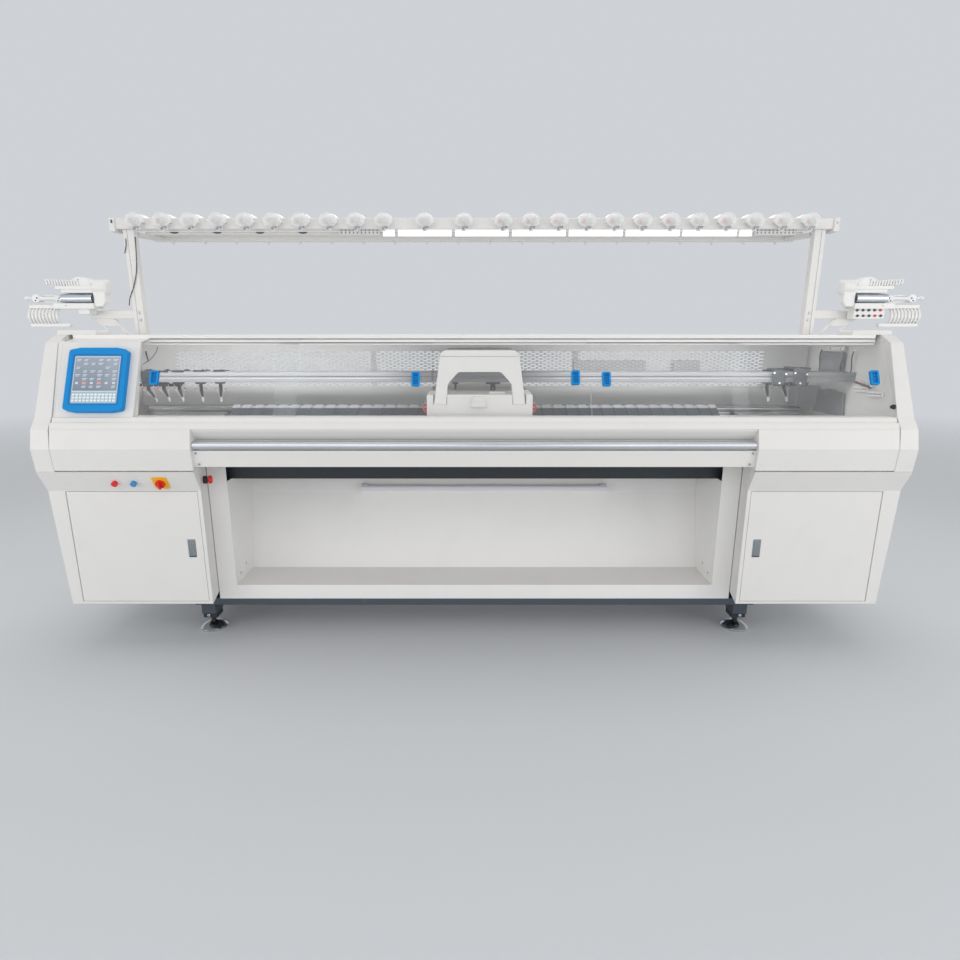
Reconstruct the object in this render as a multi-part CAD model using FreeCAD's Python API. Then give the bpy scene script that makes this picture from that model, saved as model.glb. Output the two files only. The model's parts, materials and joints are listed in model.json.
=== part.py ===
import FreeCAD, Part
import math
import os
from FreeCAD import Placement, Rotation, Vector

os.makedirs("parts", exist_ok=True)

# Flat knitting machine, in millimetres. X runs along the needle beds, Y from the
# front to the back and Z up from the floor. Y is measured from the nose, the
# foremost edge of the housings, and the finished pieces are then moved so that
# the origin lies on the floor under the middle of the machine.

# Overall sizes: the levels above and below the deck follow the deck
body_length = 3650.0
body_depth = 880.0
centre_length = 2340.0
deck_height = 985.0
top_height = deck_height + 407.0
sheet = 3.0
seat_gap = 0.3
running_fit = 0.05
body_half = body_length / 2
centre_half = centre_length / 2

# Front profile of the body: how far back from the nose each level lies
cabinet_face = 62.0
cabinet_bottom = 220.0
nose_height = deck_height - 50.0
housing_top = deck_height + 30.0
strip_top = nose_height - 97.0
strip_face = 10.0
strip_back = 18.0
door_top = strip_top - 94.0
nose_back_slope = 20.0
deck_back = 740.0
rear_face = body_depth - 20.0
cabinet_toe_in = 26.0
seam_gap = 4.0

# End plates and housings
end_plate_nose = 76.0
end_plate_top = 53.0
housing_outer = body_half - end_plate_nose
top_cover_half = body_half - end_plate_top
cap_inset = 6.0
cap_length = 170.0
cap_depth = 110.0
cap_height = 20.0
cap_rounding = 8.0

# Base frame and levelling feet
rail_bottom = 150.0
rail_top = 184.0
rail_front = 200.0
rail_back = 680.0
rail_width = 60.0
foot_spread = centre_half + 105.0
foot_front = 278.0
foot_back = 622.0
foot_radius = 64.0
foot_block_height = 62.0
foot_block_width = 90.0
foot_block_inset = 12.0
foot_stem = 12.0
foot_pad = 16.0
foot_nut = 16.0
leg_outer = centre_half + 20.0
leg_front = 262.0
leg_back = 638.0
gusset_reach = 60.0
gusset_fall = 42.0
gusset_thickness = 12.0

# Machine bed and needle beds
bed_half = centre_half - 25.0
bed_centre = 450.0
bed_bottom = deck_height - 233.0
beam_front = 250.0
throat_width = 60.0
ledge_front = 165.0
ledge_height = 40.0
bed_gap = 16.0
bed_apex = deck_height + 83.0
bed_slope = 30.0
bed_toe = 12.0
bed_thickness = 22.0
racking = 25.0
needle_slots = 40
slot_width = 17.0
slot_depth = 5.0
slot_margin = 12.0
end_block = 56.0
end_block_rise = 120.0

# Fabric bin
bin_front = 196.0
bin_floor = 250.0
bin_floor_back = 420.0
bin_wall_back = 500.0
splash_top = bed_bottom - 2.0
bin_wall_top = splash_top - 133.0
stile_inner = centre_half - 58.0
stile_outer = centre_half + 27.0
stile_depth = 330.0
screw_hole = 6.0
high_hole = (330.0, 310.0)
low_hole = (256.0, 290.0)
splash_lean = 10.0
bin_lamp_length = 1216.0
bin_lamp_radius = 13.0
bin_lamp_height = bin_wall_top + 35.0
bin_lamp_offset = 48.0
bin_lamp_cap = 30.0
bin_lamp_rim = 3.0

# Take-down roller
roller_radius = 26.0
roller_height = bed_bottom + 68.0
roller_shaft = 10.0
shaft_reach = 30.0

# Carriage guide rails
guide_offset = 265.0
guide_radius = 15.0
guide_height = deck_height + 30.0
guide_half = housing_outer - 59.0
guide_base = 40.0
guide_foot = 10.0
guide_web = 12.0

# Yarn carrier rails and carriers
carrier_rails = 4
carrier_rail_pitch = 40.0
carrier_rail_width = 12.0
carrier_rail_bottom = bed_apex + 110.0
carrier_rail_top = carrier_rail_bottom + 44.0
carrier_rail_lip = 16.0
carrier_rail_groove = 3.0
slider_length = 52.0
slider_width = 9.0
slider_rise = 8.0
slider_hook = 1.0
arm_width = 16.0
arm_thickness = 2.0
arm_drop = 34.0
tip_pitch = 3.0
tip_height = bed_apex + 12.0
tip_length = 12.0
tip_width = 5.0
carriers = {
    "yarn_carrier_1": (0, -1508.0),
    "yarn_carrier_2": (1, -1448.0),
    "yarn_carrier_3": (2, -1384.0),
    "yarn_carrier_4": (3, -1291.0),
    "yarn_carrier_5": (4, -1206.0),
    "yarn_carrier_6": (5, 1402.0),
    "yarn_carrier_7": (6, 1492.0),
}

# Carriage
carriage_centre = 23.0
carriage_width = 452.0
cam_front = 138.0
cam_back_gap = 85.0
cam_bottom = deck_height + 18.0
cam_top = cam_bottom + 140.0
cam_clearance = 5.0
cam_chamfer = 18.0
wedge_offset = 4.0
wedge_top = 42.0
wedge_foot = 70.0
wedge_depth = 12.0
feeler_width = 18.0
feeler_height = 50.0
feeler_level = 60.0
arch_bottom_width = 391.0
arch_top_width = 338.0
arch_bottom = cam_top - 39.0
arch_top = arch_bottom + 224.0
arch_face = 142.0
arch_lean = 96.0
arch_wall = 42.0
arch_foot_step = 8.0
arch_slit = 2.5
arch_rounding = 26.0
arch_corner = 30.0
opening_top = arch_bottom + 132.0
opening_shoulder = arch_bottom + 82.0
opening_top_width = 164.0
opening_width = 276.0
opening_rounding = 40.0
tunnel_rounding = 12.0

# Sliding windows
glass_foot = (57.0, housing_top + 33.0)
glass_shoulder = (198.0, top_height - 30.0)
glass_head = (285.0, top_height - 12.0)
glass = 4.0
glass_clearance = 0.4
track_pitch = 16.0
window_length = 665.0
windows = {
    "window_1": (0, 8.0, -1),
    "window_2": (1, 575.0, 1),
    "window_3": (0, 1248.0, 1),
    "window_4": (1, 1910.0, -1),
    "window_5": (0, 2503.0, 1),
}
handle_width = 36.0
handle_height = 62.0
handle_edge = 50.0
handle_rim = 8.0
handle_corner = 7.0
handle_hollow = 6.0
handle_clearance = 0.5
handle_middle = housing_top + 200.0
rail_step_height = housing_top + 25.0
window_rail_top = housing_top + 45.0
window_rail_back = 112.0
top_rail_front = 266.0
top_rail_back = 335.0
top_rail_bottom = top_height - 42.0

# Rear of the body
guard_foot = (deck_back + 4.0, deck_height + 45.0)
guard_bend = (deck_back + 60.0, guard_foot[1] + 85.0)
guard_slots = 30
guard_rows = 3
guard_slot_length = 62.0
guard_slot_height = 9.0
guard_reach = housing_outer - 179.0
guard_row_pitch = 55.0
guard_first_row = guard_bend[1] + 35.0
rear_windows = 3
rear_window_reach = housing_outer - 149.0
rear_window_low = guard_bend[1] - 15.0
rear_window_high = top_height - 62.0
rear_window_rib = 30.0
cheek_step = 30.0

# Front beam and operating bar
beam_face = 20.0
beam_top = nose_height - 9.0
beam_bottom = beam_top - 70.0
beam_return = 100.0
bar_radius = 19.0
bar_back = 32.0
bar_height = nose_height + 10.0
bar_pin = 8.0
bar_pin_reach = 22.0
bar_ring = 18.0
bar_ring_width = 26.0
bar_cradle = 30.0

# Doors and latches
door_outer = body_half - 73.0
door_inner = centre_half + 16.0
door_bottom = cabinet_bottom + 12.0
door_gap = 3.0
door_thickness = 18.0
door_rim = 12.0
jamb_depth = door_thickness + 8.0
jamb_width = 12.0
jamb_height = 9.0
hinge_inset = 5.0
hinge_pin = 3.0
hinge_reach = 8.0
latch_inset = 50.0
latch_height = 483.0
latch_width = 34.0
latch_length = 82.0
latch_depth = 10.0
latch_thickness = 9.0
latch_paddle = 5.0
latch_head = 15.0
latch_barrel = 2.0
latch_pin_reach = 2.5

# Controls
strip_controls = door_top + 41.0
red_button_place = 307.0 - body_half
blue_button_place = 387.0 - body_half
button_radius = 11.0
button_reach = 12.0
button_stem = 20.0
button_rim = 1.5
button_rim_height = 4.0
button_travel = 4.0
switch_place = 500.0 - body_half
switch_plate = 62.0
switch_plate_thickness = 4.0
switch_knob = 19.0
switch_base = 10.0
switch_grip = 5.0
switch_reach = 26.0
switch_stem = 8.0
stop_place = 128.0
stop_height = strip_top - 62.0
stop_base_radius = 17.0
stop_base_length = 16.0
stop_head_radius = 18.0
stop_head_length = 10.0
stop_crown = 4.0
stop_stem = 7.0
stop_travel = 6.0

# Operator terminal
terminal_left = 47.0 - housing_outer
terminal_right = terminal_left + 246.0
terminal_low = window_rail_top + 24.0
terminal_high = top_height - 70.0
terminal_thickness = 24.0
terminal_bulge = 9.0
terminal_corner = 14.0
terminal_panel_end = 329.0 - housing_outer
terminal_flange = 12.0
screen_border = 30.0
face_depth = 4.0
face_recess = 2.0
key_columns = 12
key_rows = 3
key_width = 11.0
key_height = 9.0
key_pitch = 13.0
key_rise = 1.5

# Electronics in the cabinets
electrics_offset = 120.0
electrics_width = 360.0
electrics_front = 420.0
electrics_back = 640.0
electrics_height = 330.0

# Yarn stand
post_outer = housing_outer - 52.0
post_inner = post_outer - 71.0
post_middle = 670.0
post_depth = 46.0
post_groove = 12.0
post_groove_depth = 6.0
stand_half = post_outer + 48.0
stand_bottom = top_height + 488.0
stand_top = stand_bottom + 48.0
stand_depth = 70.0
stand_cap = 14.0
stand_cap_overlap = 4.0
stand_cap_front = 8.0
guide_bar_half = post_inner + 6.0
guide_bar_back = 878.0
guide_bar_bottom = stand_bottom - 27.0
guide_bar_top = guide_bar_bottom + 24.0
guide_bar_depth = 26.0
guide_arm_width = 50.0
eyelets = 20
eyelet_margin = 90.0
eyelet_radius = 7.0
eyelet_drop = 13.0
left_tensioners = 10
left_tensioners_from = 25.0 - post_inner
left_tensioners_to = -428.0
middle_tensioners = 2
middle_tensioners_from = -234.0
middle_tensioners_to = -50.0
right_tensioners = 12
right_tensioners_from = 135.0
right_tensioners_to = post_inner - 42.0
cap_half_width = 25.0
cap_half_length = 72.0
cap_front = 30.0
cap_rise = 25.5
cap_sections = 3
tensioner_foot = 8.0
tensioner_drop = 18.0
lens_radius = 14.0
lens_offset = 24.0
lens_reach = 4.0
lens_sides = 6
lamps = 6
lamp_first = -367.0
lamp_length = 258.0
lamp_gap = 16.0
lamp_socket = 56.0
lamp_drop = 28.0
lamp_depth = 22.0

# Side yarn feeders
feeder_middle = 600.0
feeder_outer = body_half + 357.0
feeder_roller_inner = body_half + 18.0
feeder_roller_outer = feeder_roller_inner + 174.0
feeder_roller_height = top_height + 169.0
feeder_roller_radius = 21.0
feeder_shaft = 6.0
feeder_plate_back = 655.0
feeder_plate = 12.0
feeder_cheek = 8.0
feeder_cheek_reach = 16.0
ledge_high = feeder_roller_height + 39.0
ledge_low = feeder_roller_height - 39.0
ledge_reach = 70.0
ledge_thickness = 6.0
dome_inner = body_half - 45.0
dome_outer = dome_inner + 190.0
dome_bottom = ledge_high + 4.0
dome_top = dome_bottom + 58.0
dome_fall = 28.0
dome_reach = 56.0
motor_inner = dome_inner - 5.0
motor_outer = dome_inner + 55.0
motor_radius = 36.0
motor_height = dome_bottom + 3.0
motor_back = 10.0
link_near = feeder_roller_outer + 21.0
link_far = link_near + 108.0
link_half_height = 9.0
link_tip = 3.0
link_back = 20.0
link_thickness = 10.0
link_radius = 20.0
knob_sides = 8
knob_length = 26.0
knob_lead = 8.0
rack_inner = dome_inner + 140.0
rack_outer = rack_inner + 171.0
rack_level = 22.0
rack_bar = 8.0
rack_reach = 30.0
rack_pegs = 7
peg_width = 5.0
peg_lean = 6.0
peg_depth = 8.0
dial_panel_width = 150.0
dial_panel_height = 57.0
comb_inner = feeder_roller_outer + 7.0
comb_outer = comb_inner + 144.0
comb_ribs = 9
comb_rib = 4.0
comb_radius = 46.0
comb_wall = 7.0
comb_bends = 4
comb_back = 26.0
comb_spine = 8.0
bracket_top = ledge_low - 20.0
bracket_depth = 24.0
bracket_thickness = 14.0
bracket_end = dome_inner + 125.0
bracket_foot = dome_inner + 50.0
bracket_clamp = 12.0
brace_top = dome_inner + 71.0
brace_foot = dome_inner - 37.0
brace_width = 26.0


def regular_outline(x, z, radius, sides):
    # corners of a regular polygon about (x, z)
    turns = [2 * math.pi * (k + 0.5) / sides for k in range(sides)]
    return [(x + radius * math.cos(turn), z + radius * math.sin(turn)) for turn in turns]


def rectangle(a0, a1, b0, b1, radius=0.0):
    # corners of a rectangle in turn, all rounded alike
    corners = [(a0, b0), (a1, b0), (a1, b1), (a0, b1)]
    return [corner + (radius,) for corner in corners] if radius else corners


def outline(points, at):
    # a closed wire through corners (a, b) or (a, b, radius), which at() puts in space
    corners = [Vector(point[0], point[1], 0) for point in points]
    radii = [point[2] if len(point) == 3 else 0.0 for point in points]
    count = len(points)
    ends = []
    for i, corner in enumerate(corners):
        back = (corners[i - 1] - corner).normalize()
        ahead = (corners[(i + 1) % count] - corner).normalize()
        half = back.getAngle(ahead) / 2
        reach = radii[i] / math.tan(half)
        bulge = radii[i] / math.sin(half) - radii[i]
        middle = corner + (back + ahead).normalize() * bulge if radii[i] else corner
        ends.append((corner + back * reach, middle, corner + ahead * reach))
    edges = []
    for i, (start, middle, end) in enumerate(ends):
        if radii[i]:
            edges.append(Part.Arc(at(start), at(middle), at(end)).toShape())
        following = ends[(i + 1) % count][0]
        if (following - end).Length > 1e-6:
            edges.append(Part.LineSegment(at(end), at(following)).toShape())
    return Part.Wire(edges)


def along_x(points, start, end):
    face = Part.Face(outline(points, lambda p: Vector(start, p.x, p.y)))
    return face.extrude(Vector(end - start, 0, 0))


def along_y(points, start, end):
    face = Part.Face(outline(points, lambda p: Vector(p.x, start, p.y)))
    return face.extrude(Vector(0, end - start, 0))


def along_z(points, start, end):
    face = Part.Face(outline(points, lambda p: Vector(p.x, p.y, start)))
    return face.extrude(Vector(0, 0, end - start))


def block(x0, x1, y0, y1, z0, z1):
    return Part.makeBox(x1 - x0, y1 - y0, z1 - z0, Vector(x0, y0, z0))


def round_bar(start, end, radius):
    reach = end - start
    return Part.makeCylinder(radius, reach.Length, start, reach)


def cross_bar(x0, x1, y, z, radius):
    return round_bar(Vector(x0, y, z), Vector(x1, y, z), radius)


def mirrored(shape):
    return shape.mirror(Vector(0, 0, 0), Vector(1, 0, 0))


def both_sides(shape):
    return [mirrored(shape), shape]


def moved_line(points, distance):
    # the open line of points, moved sideways to its left with mitred corners
    line = [Vector(point[0], point[1], 0) for point in points]
    runs = [(b - a).normalize() for a, b in zip(line, line[1:])]
    lefts = [Vector(-run.y, run.x, 0) for run in runs]
    result = []
    for i, corner in enumerate(line):
        first = lefts[max(i - 1, 0)]
        second = lefts[min(i, len(lefts) - 1)]
        mitre = (first + second).normalize()
        place = corner + mitre * (distance / mitre.dot(second))
        result.append((place.x, place.y))
    return result


def folded(points, thickness):
    # the closed section of a sheet folded along the points, thickened to its left
    return list(points) + list(reversed(moved_line(points, thickness)))


def fused(shapes):
    return shapes[0].multiFuse(shapes[1:]).removeSplitter() if len(shapes) > 1 else shapes[0]


def placed(shape, spot, axis, angle):
    place = Placement(spot, Rotation(axis, angle))
    result = shape.copy()
    result.Placement = place.multiply(result.Placement)
    return result


def save(name, shapes):
    group = shapes if isinstance(shapes, list) else [shapes]
    place = Vector(0, -body_depth / 2, 0)
    solids = [solid for shape in group for solid in shape.translated(place).Solids]
    whole = solids[0] if len(solids) == 1 else Part.makeCompound(solids)
    whole.exportStep(f"parts/{name}.step")


# Values that several pieces share
bed_fall = math.tan(math.radians(bed_slope))
apex_front = bed_centre - bed_gap / 2
guide_front = bed_centre - guide_offset
guide_rear = bed_centre + guide_offset
slope_run = glass_shoulder[0] - glass_foot[0]
slope_rise = glass_shoulder[1] - glass_foot[1]
slope_angle = math.degrees(math.atan2(slope_rise, slope_run))
fold_line = [glass_foot, glass_shoulder, glass_head]


def back_to_front(points):
    # a section mirrored about the plane between the two needle beds
    return [(2 * bed_centre - p[0],) + tuple(p[1:]) for p in points]


def slope_at(height):
    # how far back the sloping front lies at a height
    return glass_foot[0] + (height - glass_foot[1]) * slope_run / slope_rise


def along_slope(height):
    return (height - glass_foot[1]) / math.sin(math.radians(slope_angle))


def on_slope(shape):
    # drawn flat at the origin, then laid on the sloping front
    return placed(shape, Vector(0, *glass_foot), Vector(1, 0, 0), slope_angle)


def on_strip(shape):
    # drawn flat at the origin, then laid on the tilted control strip
    run = cabinet_face - strip_face
    rise = strip_top - door_top
    spot = Vector(0, cabinet_face - run * (strip_controls - door_top) / rise, strip_controls)
    return placed(shape, spot, Vector(1, 0, 0), math.degrees(math.atan2(rise, -run)))


def on_cheek(shape):
    # built with +X out of the left cabinet's slanted inner cheek
    depth = rail_front - cabinet_face
    spot = Vector(-centre_half - cheek_step * (stop_place - cabinet_face) / depth, stop_place, stop_height)
    return placed(shape, spot, Vector(0, 0, 1), math.degrees(math.atan2(cheek_step, depth)))


# Base frame, feet and bin

def levelling_foot(x, y):
    top = rail_bottom - foot_block_height
    pad = Part.makeCylinder(foot_radius, foot_pad)
    stem = Part.makeCylinder(foot_stem, top - foot_nut - foot_pad, Vector(0, 0, foot_pad))
    nut = along_z(regular_outline(0, 0, foot_stem * 1.8, 6), top - foot_nut, top)
    return fused([pad, stem, nut]).translated(Vector(x, y, 0))


def levelling_feet():
    return [levelling_foot(side * foot_spread, y) for side in (-1, 1) for y in (foot_front, foot_back)]


def base_frame():
    # two long rails between two welded end frames
    inner = foot_spread - foot_block_width / 2
    rails = [block(-inner, inner, y, y + rail_width, rail_bottom, rail_top)
             for y in (rail_front, rail_back - rail_width)]
    return rails + both_sides(frame_end())


def frame_end():
    # cross member, foot blocks, gusset and leg panel at the right end of the frame
    reach = foot_block_width / 2
    low, high = foot_spread - reach, foot_spread + reach
    pieces = [block(low, high, rail_front, rail_back, rail_bottom, cabinet_bottom),
              block(stile_inner + sheet, leg_outer, leg_front, leg_back, rail_top, bed_bottom),
              block(leg_outer - 1, low + 1, leg_front, leg_back, rail_top, cabinet_bottom)]
    for y in (foot_front, foot_back):
        pieces.append(block(low + foot_block_inset, high - foot_block_inset, y - reach, y + reach,
                            rail_bottom - foot_block_height, rail_bottom))
    heel = low + foot_block_inset
    gusset = [(heel, rail_bottom), (low - gusset_reach, rail_bottom), (heel, rail_bottom - gusset_fall)]
    pieces.append(along_y(gusset, foot_front - gusset_thickness / 2, foot_front + gusset_thickness / 2))
    return fused(pieces)


def fabric_bin():
    # front lip, floor, leaning back wall and the panel that carries the lamp, in one folded sheet
    line = [(bin_front + sheet, rail_top), (bin_front + sheet, bin_floor), (bin_floor_back, bin_floor),
            (bin_wall_back, bin_wall_top), (bin_wall_back + splash_lean, splash_top)]
    return along_x(folded(line, sheet), -stile_inner, stile_inner)


def bin_side_panels():
    # a white stile beside the bin, folded back into the bin's side wall
    front, face, back = bin_front, bin_front + sheet, bin_front + stile_depth
    ledge_bottom = deck_height - ledge_height
    panel = fused([block(stile_inner, stile_outer, front, face, rail_top, strip_top),
                   block(stile_inner, centre_half, front, face, rail_top, ledge_bottom),
                   block(stile_inner, stile_inner + sheet, front, back, rail_top, bed_bottom)])
    for y, z in (high_hole, low_hole):
        panel = panel.cut(cross_bar(0, stile_outer, y, z, screw_hole))
    return both_sides(panel)


def bin_lamp():
    low = bin_lamp_height - bin_lamp_radius - bin_lamp_rim
    high = bin_lamp_height + bin_lamp_radius + bin_lamp_rim
    lean = splash_lean / (splash_top - bin_wall_top)
    wall = bin_wall_back + (low - bin_wall_top) * lean - sheet / math.cos(math.atan(lean)) - seat_gap
    centre = wall - bin_lamp_offset / 2
    start = bin_lamp_offset - bin_lamp_length / 2
    end = start + bin_lamp_length
    caps = [block(x, x + bin_lamp_cap, centre - 4, wall, low, high) for x in (start, end - bin_lamp_cap)]
    return fused([cross_bar(start, end, centre, bin_lamp_height, bin_lamp_radius)] + caps)


# Cabinets, doors and housings

def cabinet_body(inset):
    # the right cabinet's outer form, or its hollow when inset by the sheet
    inner, floor = centre_half + inset, cabinet_bottom + inset
    roof, back = strip_top - inset, rear_face - inset
    side = [(inner, floor), (body_half - cabinet_toe_in - inset, floor), (body_half - inset, door_top),
            (body_half - inset, roof), (inner, roof)]
    front = [(cabinet_face + inset, floor), (cabinet_face + inset, door_top), (strip_face + inset, roof),
             (back, roof), (back, floor)]
    body = along_y(side, 0, body_depth).common(along_x(front, centre_half, body_half))
    corner = [(centre_half - 1, 0), (inner, 0), (inner, cabinet_face), (inner + cheek_step, rail_front),
              (inner + cheek_step, body_depth), (centre_half - 1, body_depth)]
    return body.cut(along_z(corner, 0, top_height))


def right_cabinet():
    front, back = cabinet_face, cabinet_face + jamb_depth
    door_high = door_top - door_gap
    hole = block(door_inner, door_outer, front - 1, back + 1, door_bottom, door_high)
    shell = cabinet_body(0).cut(cabinet_body(sheet))
    frame = block(door_inner - jamb_width, door_outer + jamb_width, front + sheet, back,
                  door_bottom - jamb_height, door_high + jamb_height)
    hinge = hinge_line(hinge_pin + running_fit, door_bottom - hinge_reach, door_high + hinge_reach)
    return fused([shell, frame.common(cabinet_body(0))]).cut(hole).cut(hinge)


def left_cabinet():
    cabinet = mirrored(right_cabinet())
    holes = [(red_button_place, button_radius + seat_gap), (blue_button_place, button_radius + seat_gap),
             (switch_place, switch_stem)]
    for x, radius in holes:
        cabinet = cabinet.cut(on_strip(Part.makeCylinder(radius, 60, Vector(x, 0, -30))))
    return cabinet.cut(on_cheek(cross_bar(-20, 20, 0, 0, stop_stem + 1)))


def right_door():
    side_gap = door_gap / 2
    front, back = cabinet_face, cabinet_face + door_thickness
    inner, outer = door_inner + side_gap, door_outer - side_gap
    low, high = door_bottom + side_gap, door_top - door_gap - side_gap
    panel = along_z([(inner, front), (outer, front, hinge_inset), (outer, back), (inner, back)], low, high)
    pan = block(door_inner + door_rim, door_outer - door_rim, front + sheet, back + 1,
                door_bottom + door_rim, door_top - door_gap - door_rim)
    hole = latch_pocket(0, front - 1, front + latch_depth)
    cup = latch_pocket(sheet, front + sheet, front + latch_depth + sheet)
    pin = hinge_line(hinge_pin, low - hinge_reach, high + hinge_reach)
    pivot = latch_pivot(latch_barrel + running_fit, latch_width / 2 + latch_pin_reach)
    return fused([panel.cut(pan), cup, pin]).cut(hole).cut(pivot)


def latch_pocket(rim, front, back):
    # the room for the latch, or with a rim the cup round it
    x = door_inner + latch_inset
    half_width, half_height = latch_width / 2 + rim, latch_length / 2 + rim
    return block(x - half_width, x + half_width, front, back,
                 latch_height - half_height, latch_height + half_height)


def hinge_line(radius, low, high):
    # the hinge pin on the centre of the door's rounded outer edge
    x, y = door_outer - door_gap / 2 - hinge_inset, cabinet_face + hinge_inset
    return round_bar(Vector(x, y, low), Vector(x, y, high), radius)


def latch_pivot(radius, reach):
    x, y = door_inner + latch_inset, cabinet_face - 1 + latch_thickness / 2
    z = latch_height + latch_length / 2 - seat_gap - latch_thickness / 2
    return cross_bar(x - reach, x + reach, y, z, radius)


def right_latch():
    # flush paddle in the door's pocket, turned by its upper edge
    x = door_inner + latch_inset
    half = latch_width / 2 - seat_gap
    low = latch_height - latch_length / 2 + seat_gap
    high = latch_height + latch_length / 2 - seat_gap
    front = cabinet_face - 1
    back = front + latch_thickness
    rounding = latch_thickness / 2 - 0.01
    section = [(front, low), (front + latch_paddle, low), (front + latch_paddle, high - latch_head - 5),
               (back, high - latch_head), (back, high, rounding), (front, high, rounding)]
    paddle = along_x(section, x - half, x + half)
    return paddle.fuse(latch_pivot(latch_barrel, latch_width / 2 + latch_pin_reach - seat_gap))


def end_plate_section():
    shoulder = (glass_shoulder[0] - 4, glass_shoulder[1] - 2, 30)
    return [(strip_face + 2, strip_top), (0, nose_height), (nose_back_slope, housing_top),
            (slope_at(window_rail_top) - 6, window_rail_top), shoulder, (top_rail_front, top_height, 40),
            (body_depth, top_height), (body_depth, strip_top)]


def end_plates():
    plate = along_x(end_plate_section(), housing_outer, body_half)
    beyond = housing_outer - 1
    bevel = [(beyond, nose_height), (housing_outer, nose_height), (top_cover_half, top_height),
             (top_cover_half, top_height + 1), (beyond, top_height + 1)]
    plate = plate.cut(along_y(bevel, -1, body_depth + 1))
    outer = body_half - cap_inset
    cap_top = top_height + cap_height
    cap = [(outer - cap_length, top_height), (outer, top_height), (outer, cap_top, cap_rounding),
           (outer - cap_length, cap_top, cap_rounding)]
    lid = along_y(cap, top_rail_front + 4, top_rail_front + 4 + cap_depth)
    return both_sides(plate) + both_sides(lid)


def housing_section(inset):
    front, floor = strip_face + strip_back + inset, strip_top + inset
    roof, back = housing_top - inset, deck_back - inset
    seam = floor + seam_gap
    return [(strip_face + 3 + inset, seam), (2 + inset, nose_height), (nose_back_slope + 2 + inset, roof),
            (window_rail_back - inset, roof), (window_rail_back - inset, deck_height - inset),
            (back, deck_height - inset), (back, floor), (front, floor), (front, seam)]


def right_nose_housing():
    outer = along_x(housing_section(0), centre_half, housing_outer)
    inner = along_x(housing_section(sheet), centre_half + sheet, housing_outer - sheet)
    bore = cross_bar(centre_half - 1, centre_half + sheet + 1, bar_back, bar_height, bar_pin + running_fit)
    return outer.cut(inner).cut(bore)


def electrics_boxes():
    low = centre_half + electrics_offset
    floor = cabinet_bottom + sheet
    return both_sides(block(low, low + electrics_width, electrics_front, electrics_back,
                            floor, floor + electrics_height))


# Front beam, operating bar and window rails

def front_beam_cover():
    lip = nose_back_slope + 4 + sheet
    cradle = bar_back + bar_cradle
    over_bar = bar_height + bar_radius
    line = [(lip, housing_top), (lip, housing_top - 8), (cradle - 6, over_bar + 4), (cradle, over_bar),
            (cradle, beam_top), (beam_face, beam_top), (beam_face + 6, beam_bottom),
            (beam_face + beam_return, beam_bottom)]
    return along_x(folded(line, sheet), -centre_half, centre_half)


def operating_bar():
    # end rings and grip on a pin that turns in the housings
    half = centre_half - seat_gap
    reach = centre_half + bar_pin_reach
    rods = [(half, bar_ring), (half - bar_ring_width, bar_radius), (reach, bar_pin)]
    return fused([cross_bar(-length, length, bar_back, bar_height, radius) for length, radius in rods])


def glass_section(track, clearance):
    # the folded pane, or the room that it takes in its tracks
    line = moved_line(fold_line, -track * track_pitch + clearance)
    start = Vector(*line[0], 0)
    end = Vector(*line[-1], 0)
    low = (start - Vector(*line[1], 0)).normalize() * clearance + start
    high = (end - Vector(*line[-2], 0)).normalize() * clearance + end
    line = [(low.x, low.y)] + line[1:-1] + [(high.x, high.y)]
    return folded(line, -glass - 2 * clearance)


def cut_tracks(rail):
    for track in (0, 1):
        rail = rail.cut(along_x(glass_section(track, glass_clearance), terminal_panel_end, housing_outer))
    return rail


def window_rail():
    section = [(nose_back_slope + 2, housing_top), (nose_back_slope + 10, rail_step_height),
               (glass_foot[0] - 14, rail_step_height), (glass_foot[0] - 5, window_rail_top),
               (window_rail_back, window_rail_top), (window_rail_back, housing_top)]
    return cut_tracks(along_x(section, -housing_outer, housing_outer))


def top_cover():
    # the windows' upper rail and the roof behind it, trimmed to the leaning end plates
    section = rectangle(top_rail_front, top_rail_back, top_rail_bottom, top_height)
    rail = along_x(section, -housing_outer, housing_outer)
    roof = block(-top_cover_half, top_cover_half, top_rail_back - 1, rear_face,
                 top_height - sheet, top_height)
    whole = fused([rail, roof])
    beyond = top_cover_half + 50
    slope = [(housing_outer, nose_height), (top_cover_half, top_height), (beyond, top_height + 1),
             (beyond, nose_height)]
    for wedge in both_sides(along_y(slope, 0, body_depth)):
        whole = whole.cut(wedge)
    return cut_tracks(whole)


def terminal_panel():
    foot = (slope_at(window_rail_top), window_rail_top)
    low = (slope_at(window_rail_top - 10), window_rail_top - 10)
    line = [low, glass_shoulder, (top_rail_front + 10, glass_shoulder[1] + 15)]
    panel = along_x(folded(line, -sheet), -housing_outer, terminal_panel_end)
    flange = [foot, glass_shoulder, (glass_shoulder[0] + terminal_flange, glass_shoulder[1]),
              (foot[0] + 40, window_rail_top)]
    side = along_x(flange, terminal_panel_end - sheet, terminal_panel_end)
    room = block(-body_half, 0, 0, top_rail_front, window_rail_top, top_height)
    return fused([panel, side]).common(room)


def window(track, left, handle_side):
    # a folded pane and the moulded handle that stands out of it
    pane = along_x(glass_section(track, 0), left, left + window_length)
    edge = left + handle_edge if handle_side < 0 else left + window_length - handle_edge - handle_width
    right, half = edge + handle_width, handle_height / 2
    depth = track_pitch - glass - handle_clearance
    handle = along_z(rectangle(edge, right, -half, half, handle_corner), 0, depth)
    dent = block(edge + handle_rim, right - handle_rim, handle_rim - half, half - handle_rim,
                 depth - handle_hollow, depth + 1)
    handle = handle.cut(dent).translated(Vector(0, along_slope(handle_middle), -track * track_pitch))
    return [pane, on_slope(handle)]


# Rear of the body

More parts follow.
